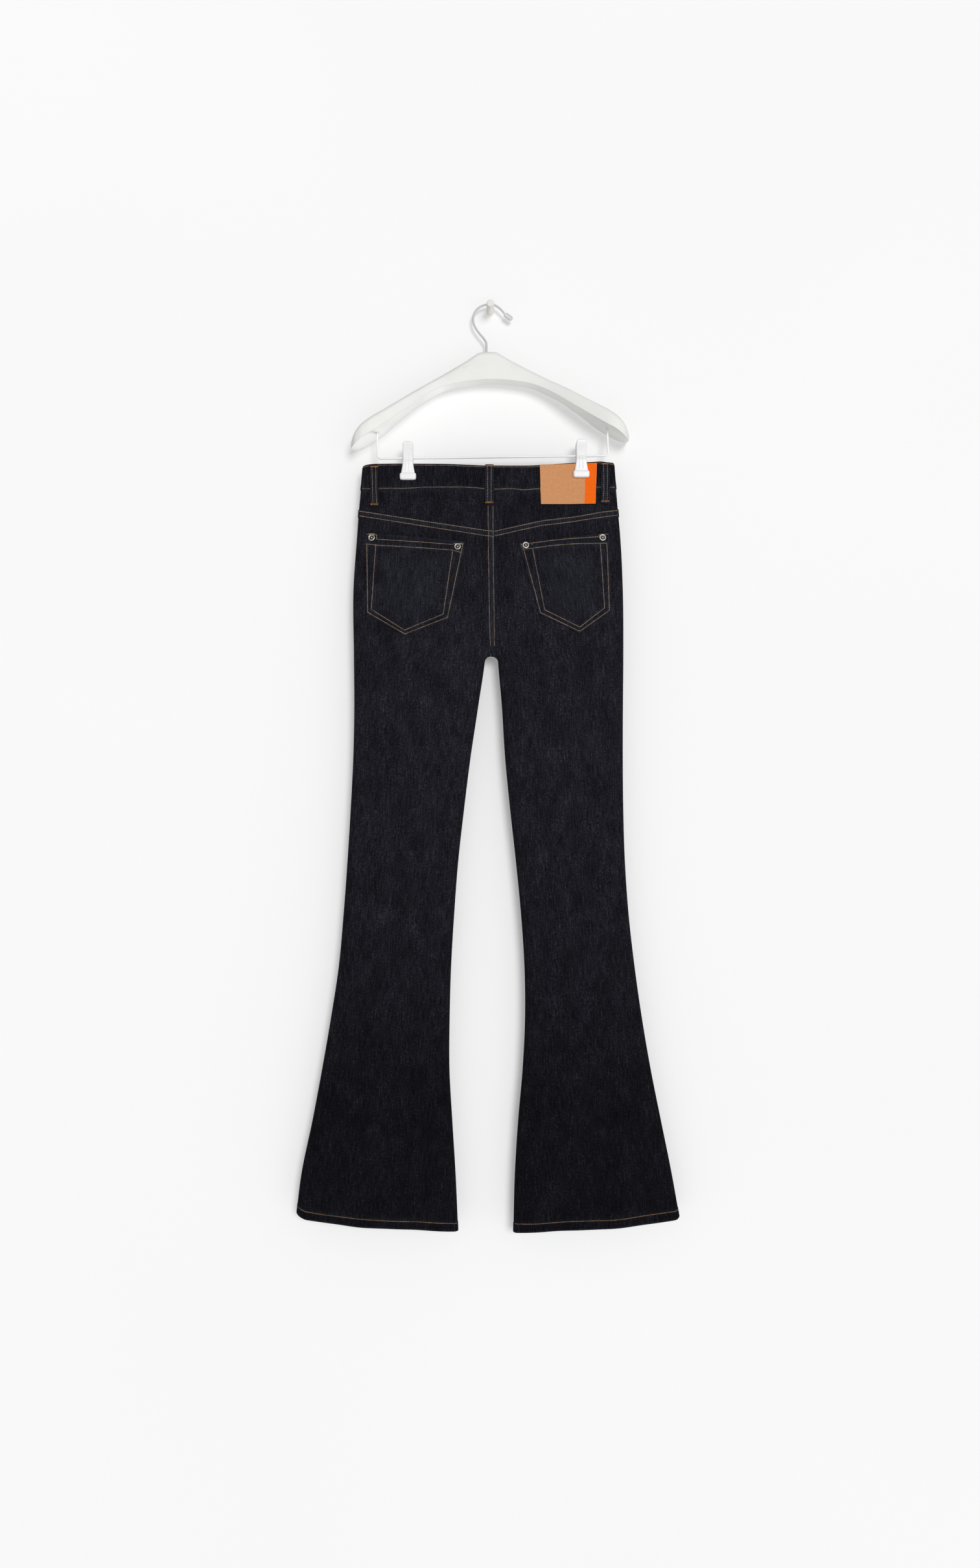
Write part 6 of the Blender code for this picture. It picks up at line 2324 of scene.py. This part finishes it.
@dataclass
class TrouserClip:
    """Half of a moulded clip: a bowed, ribbed handle over the bar and a broad jaw.

    Each row of grips is a drop, a half width, a distance off the middle plane and a thickness.
    """

    garment: Garment
    leg: Leg
    face: Face
    x: float
    over_patch: float = 1.6
    grips: tuple[tuple[float, float, float, float], ...] = (
        (-38.7, 3.4, 8.3, 1.2), (-38.3, 5.2, 8.2, 1.9), (-37.2, 6.5, 8.0, 2.5),
        (-34.6, 7.4, 7.3, 3.0), (-30.0, 7.6, 6.4, 3.1), (-26.0, 7.6, 5.3, 3.2),
        (-21.0, 7.5, 3.8, 3.7), (-15.7, 7.4, 2.4, 4.2), (-12.2, 7.4, 3.1, 3.8),
        (-9.0, 7.5, 4.1, 3.4), (-4.5, 8.0, 4.1, 3.25), (0.0, 8.7, 4.1, 3.2),
        (4.0, 9.4, 4.1, 3.2), (7.0, 10.1, 4.1, 3.2), (7.5, 10.9, 4.1, 3.9),
        (8.0, 11.5, 4.1, 4.5), (9.4, 11.9, 4.1, 4.8), (12.4, 11.9, 4.1, 4.8),
        (15.2, 11.7, 4.1, 4.75), (16.3, 11.1, 4.1, 4.4), (17.0, 9.9, 4.1, 3.5),
    )
    ribs: tuple[float, float] = (-0.28, 0.28)
    rib_width: float = 0.07
    rib_height: float = 0.35

    def build(self) -> None:
        """Make the half clip as one moulding."""
        form = self.garment.form
        table = np.array(self.grips)
        levels = np.unique(np.concatenate([table[:, 0], np.linspace(table[0, 0], table[-1, 0], 90)]))
        half, near, thick = (np.interp(levels, table[:, 0], table[:, c])[:, None] for c in (1, 2, 3))
        levels = levels[:, None]
        if self.leg == Leg.RIGHT and self.face == Face.BACK:
            near = near + self.over_patch * np.clip((levels + 15.7) / 6.7, 0.0, 1.0)
        across = np.linspace(-1, 1, 41)
        crown = 0.5 + 0.5 * np.sqrt(np.clip(1 - ((np.abs(across) - 0.78) / 0.22).clip(0, 1) ** 2, 0, 1))
        on_handle = smoothstep((levels + 17.5) / 3.0) * (1 - smoothstep((levels - 3.0) / 2.5))
        ribbed = sum(bump_at(across - rib, self.rib_width) for rib in self.ribs)
        height = thick * crown[None] + self.rib_height * on_handle * ribbed[None]
        x = self.x + half * across[None]
        outside, inside = (
            form.to_world(x, depth, levels - HOLDER_TILT * self.x, self.face)
            for depth in (near + height, near))
        piece = PieceMesh(f"clip_{self.leg.word}_{self.face.word}")
        piece.add_wall(outside, inside, rounded=0.35)
        piece.build([self.garment.finishes.plastic], "clip_plastic", 42.0)


@dataclass
class WallPeg:
    """Fluted dowel that stands out of the wall."""

    finishes: Finishes
    radius: float = 5.5
    length: float = 38.0
    flutes: int = 12
    depth: float = 0.3
    chamfer: float = 0.8

    def build(self) -> None:
        """Make the peg."""
        angles = np.linspace(0, math.tau, self.flutes * 8, endpoint=False)
        groove = 1 - self.depth / self.radius * (0.5 - 0.5 * np.cos(angles * self.flutes)) ** 2
        rings = []
        for out, share in (
            (0.0, 1.0), (4.0, 1.0), (self.length - self.chamfer - 0.2, 1.0),
            (self.length - self.chamfer, 0.985), (self.length - 0.15, 1 - self.chamfer / self.radius),
            (self.length, 0.83), (self.length, 0.4), (self.length, 0.02),
        ):
            radius = self.radius * share * (groove if share > 0.9 else 1.0)
            x, z = radius * np.cos(angles), radius * np.sin(angles)
            rings.append(np.stack([x, np.full(len(x), -out), z], axis=1))
        piece = PieceMesh("wall_peg")
        piece.add_tube(np.array(rings))
        piece.build([self.finishes.dowel], "peg_wood", 40.0)


@dataclass
class Studio:
    """Camera, soft light, pale wall and pale floor."""

    camera_at: tuple[float, float, float] = (-0.000475, -2.030, -0.7023)
    lens: float = 31.32
    wall_y: float = 0.0005
    floor_z: float = -1.9
    floor_size: tuple[float, float] = (4.0, 3.0)
    wall_size: tuple[float, float] = (4.0, 4.0)
    room_radius: float = 9.0
    # White wall paint, seen only from the room.
    wall: Backdrop = Backdrop(
        "matt_wall_paint", ("E2E2E2", "E4E4E4"), 0.95, 0.0, "FFFFFF", 0.2, (1.3, 1.0), True)
    floor: Backdrop = Backdrop(
        "pale_floor", ("EAEAE7", "EFEFEC"), 0.9, 0.2, "EFEFEC", 0.45, (2.0, 3.0))
    paper: Backdrop = Backdrop("seamless_paper", ("000000", "000000"), 1.0, 0.0, "EDEDED", 1.0)
    sky: float = 0.53
    sky_lift: float = 0.36
    sky_bright: tuple[float, float, float] = (0.3, 0.0, -0.954)
    sun_angle: float = 21.0
    suns: tuple[tuple[str, float, tuple[float, float, float]], ...] = (
        ("window", 1.5, (-0.23, 0.95, -0.2)), ("fill", 0.85, (-0.3, -0.85, 0.42)))

    def build(self) -> None:
        """Set up the camera, light, wall, floor and room."""
        scene = bpy.context.scene
        camera = bpy.data.cameras.new("camera")
        camera.sensor_width = 36.0
        camera.lens = self.lens
        camera.clip_end = 20.0
        scene.camera = add_object("camera", camera)
        scene.camera.location = self.camera_at
        scene.camera.rotation_euler = (math.pi / 2, 0.0, 0.0)
        scene.view_settings.view_transform = "Standard"
        self.light()
        wall = self.sheet("wall", self.wall_size, (0.0, self.wall_y, 0.1), math.pi / 2, self.wall)
        room = self.dome("room")
        # Light reaches the hidden side as if the wall were not there.
        wall.visible_shadow = False
        wall.visible_diffuse = False
        floor_at = (0.0, self.wall_y - self.floor_size[1] / 2, self.floor_z)
        floor = self.sheet("floor", self.floor_size, floor_at, 0.0, self.floor)
        floor.visible_diffuse = False

    def light(self) -> None:
        """Set up the sky and the two soft suns.

        White floors and reflectors send more light up than the ceiling sends down.
        """
        recipe = Recipe("studio", "worlds")
        facing = recipe.add("TexCoord").outputs["Generated"]
        side = recipe.add("VectorMath", {0: facing, 1: self.sky_bright}, operation="DOT_PRODUCT")
        lift = recipe.add("MapRange", {
            "Value": side.outputs["Value"], "From Min": -0.6, "From Max": 0.6,
            "To Min": self.sky * (1 - self.sky_lift), "To Max": self.sky * (1 + self.sky_lift)})
        connect(recipe.tree.nodes["Background"], {"Color": (1.0, 1.0, 1.0, 1.0), "Strength": lift})
        bpy.context.scene.world = recipe.made
        for name, power, along in self.suns:
            lamp = bpy.data.lights.new(name, "SUN")
            lamp.energy = power
            lamp.angle = math.radians(self.sun_angle)
            turned = Vector(along).to_track_quat("-Z", "Y").to_euler()
            add_object(name, lamp).rotation_euler = turned

    @staticmethod
    def sheet(
        name: str, size: tuple[float, float], place: tuple, lean: float, finish: Backdrop
    ) -> Object:
        """A flat backdrop.

        Args:
            name: its name.
            size: width and depth in metres.
            place: its middle.
            lean: how far it is turned up, in radians.
            finish: its paint.

        Returns:
            The new object.
        """
        mesh = bpy.data.meshes.new(name)
        x, y = size[0] / 2, size[1] / 2
        mesh.from_pydata([(-x, -y, 0), (x, -y, 0), (x, y, 0), (-x, y, 0)], [], [(0, 1, 2, 3)])
        mesh.materials.append(finish.build())
        thing = add_object(name, mesh)
        thing.location = place
        thing.rotation_euler = (lean, 0.0, 0.0)
        return thing

    def dome(self, name: str) -> Object:
        """A pale sphere far outside, seen but casting neither light nor shadow.

        Args:
            name: its name.

        Returns:
            The new object.
        """
        work = bmesh.new()
        bmesh.ops.create_icosphere(work, subdivisions=4, radius=self.room_radius)
        bmesh.ops.reverse_faces(work, faces=work.faces)
        mesh = bpy.data.meshes.new(name)
        work.to_mesh(mesh)
        work.free()
        mesh.shade_smooth()
        mesh.materials.append(self.paper.build())
        thing = add_object(name, mesh)
        for ray in ("diffuse", "glossy", "shadow", "transmission", "volume_scatter"):
            setattr(thing, "visible_" + ray, False)
        return thing


POCKETS = {
    Leg.LEFT: {
        "outline": (
            (-181.8, 97.4), (-36.4, 112.2), (-60.0, 223.6), (-123.6, 248.0), (-179.9, 214.8)),
        "inner_rows": (
            (-166.6, 115.6), (-172.9, 209.3), (-124.4, 240.2), (-68.3, 216.9), (-54.4, 124.0)),
        "outer_rows": (
            (-179.7, 112.7), (-178.2, 213.4), (-124.0, 245.6), (-62.2, 221.6), (-43.1, 131.6),
            (-39.5, 113.5)),
        "mouth_rows": (
            ((-164.6, 107.1), (-54.3, 116.2)),
            ((-181.0, 113.9), (-166.2, 115.7), (-54.8, 124.4), (-42.2, 128.1))),
        "tabs": (
            ((-180.2, 99.2), (-165.4, 100.6), (-165.4, 107.4)),
            ((-53.2, 116.2), (-52.6, 114.4), (-39.0, 116.0))),
        "tacks": ((-172.8, 99.0), (-45.6, 114.9)),
        "rivets": ((-172.9, 104.4), (-47.4, 119.0)),
    },
    Leg.RIGHT: {
        "outline": ((172.4, 97.4), (41.8, 114.6), (71.0, 216.2), (129.3, 244.2), (175.0, 211.2)),
        "inner_rows": ((160.1, 114.4), (165.9, 207.0), (129.6, 235.7), (78.7, 210.7), (61.2, 122.2)),
        "outer_rows": (
            (169.5, 112.7), (173.0, 210.6), (129.4, 241.8), (72.8, 214.8), (48.5, 124.0),
            (44.4, 115.2)),
        "mouth_rows": (
            ((59.8, 114.2), (88.0, 110.2), (115.0, 107.2), (157.3, 103.4)),
            ((46.3, 123.1), (61.1, 121.6), (90.8, 117.4), (128.4, 114.1), (169.2, 112.6))),
        "tabs": (
            ((44.2, 115.9), (58.5, 113.9), (60.7, 117.1)),
            ((158.6, 105.2), (158.2, 100.6), (171.0, 98.9))),
        "tacks": ((51.4, 114.4), (164.6, 99.6)),
        "rivets": ((163.6, 104.4), (51.4, 117.0)),
    },
}
# Each loop's place, x, drops of its ends and lean.
LOOPS = (
    (Face.BACK, "left", -169.6, -2.4, 56.7, 1.6),
    (Face.BACK, "centre", -1.4, -1.6, 56.2, 0.0),
    (Face.BACK, "right", 168.3, -6.6, 52.2, 0.0),
    (Face.FRONT, "left", -70.0, -1.6, 56.0, 0.0),
    (Face.FRONT, "right", 72.0, -3.8, 54.0, 0.0),
)


def main() -> None:
    """Build every piece, from the cloth out to the hanger and the studio."""
    logging.basicConfig(level=logging.INFO, format="%(message)s")
    form = GarmentForm()
    garment = Garment(form, SeamLaps(form), Finishes())
    for leg in Leg:
        for face in Face:
            LegPanel(garment, leg, face).build()
        Yoke(garment, leg).build()
        PocketFacing(garment, leg).build()
    Waistband(garment).build()
    pockets = [BackPocket(garment, leg, **POCKETS[leg]) for leg in Leg]
    for pocket in pockets:
        pocket.build()
    Fly(garment).build()
    for face, side, x, top, bottom, lean in LOOPS:
        BeltLoop(garment, f"belt_loop_{face.word}_{side}", x, face, top, bottom, lean).build()
    Patch(garment).build()
    Hardware(garment, pockets).build()
    Hanger(garment.finishes).build()
    for leg, x in zip(Leg, CLIP_X):
        for face in Face:
            TrouserClip(garment, leg, face, x).build()
    WallPeg(garment.finishes).build()
    Studio().build()


if __name__ == "__main__":
    main()
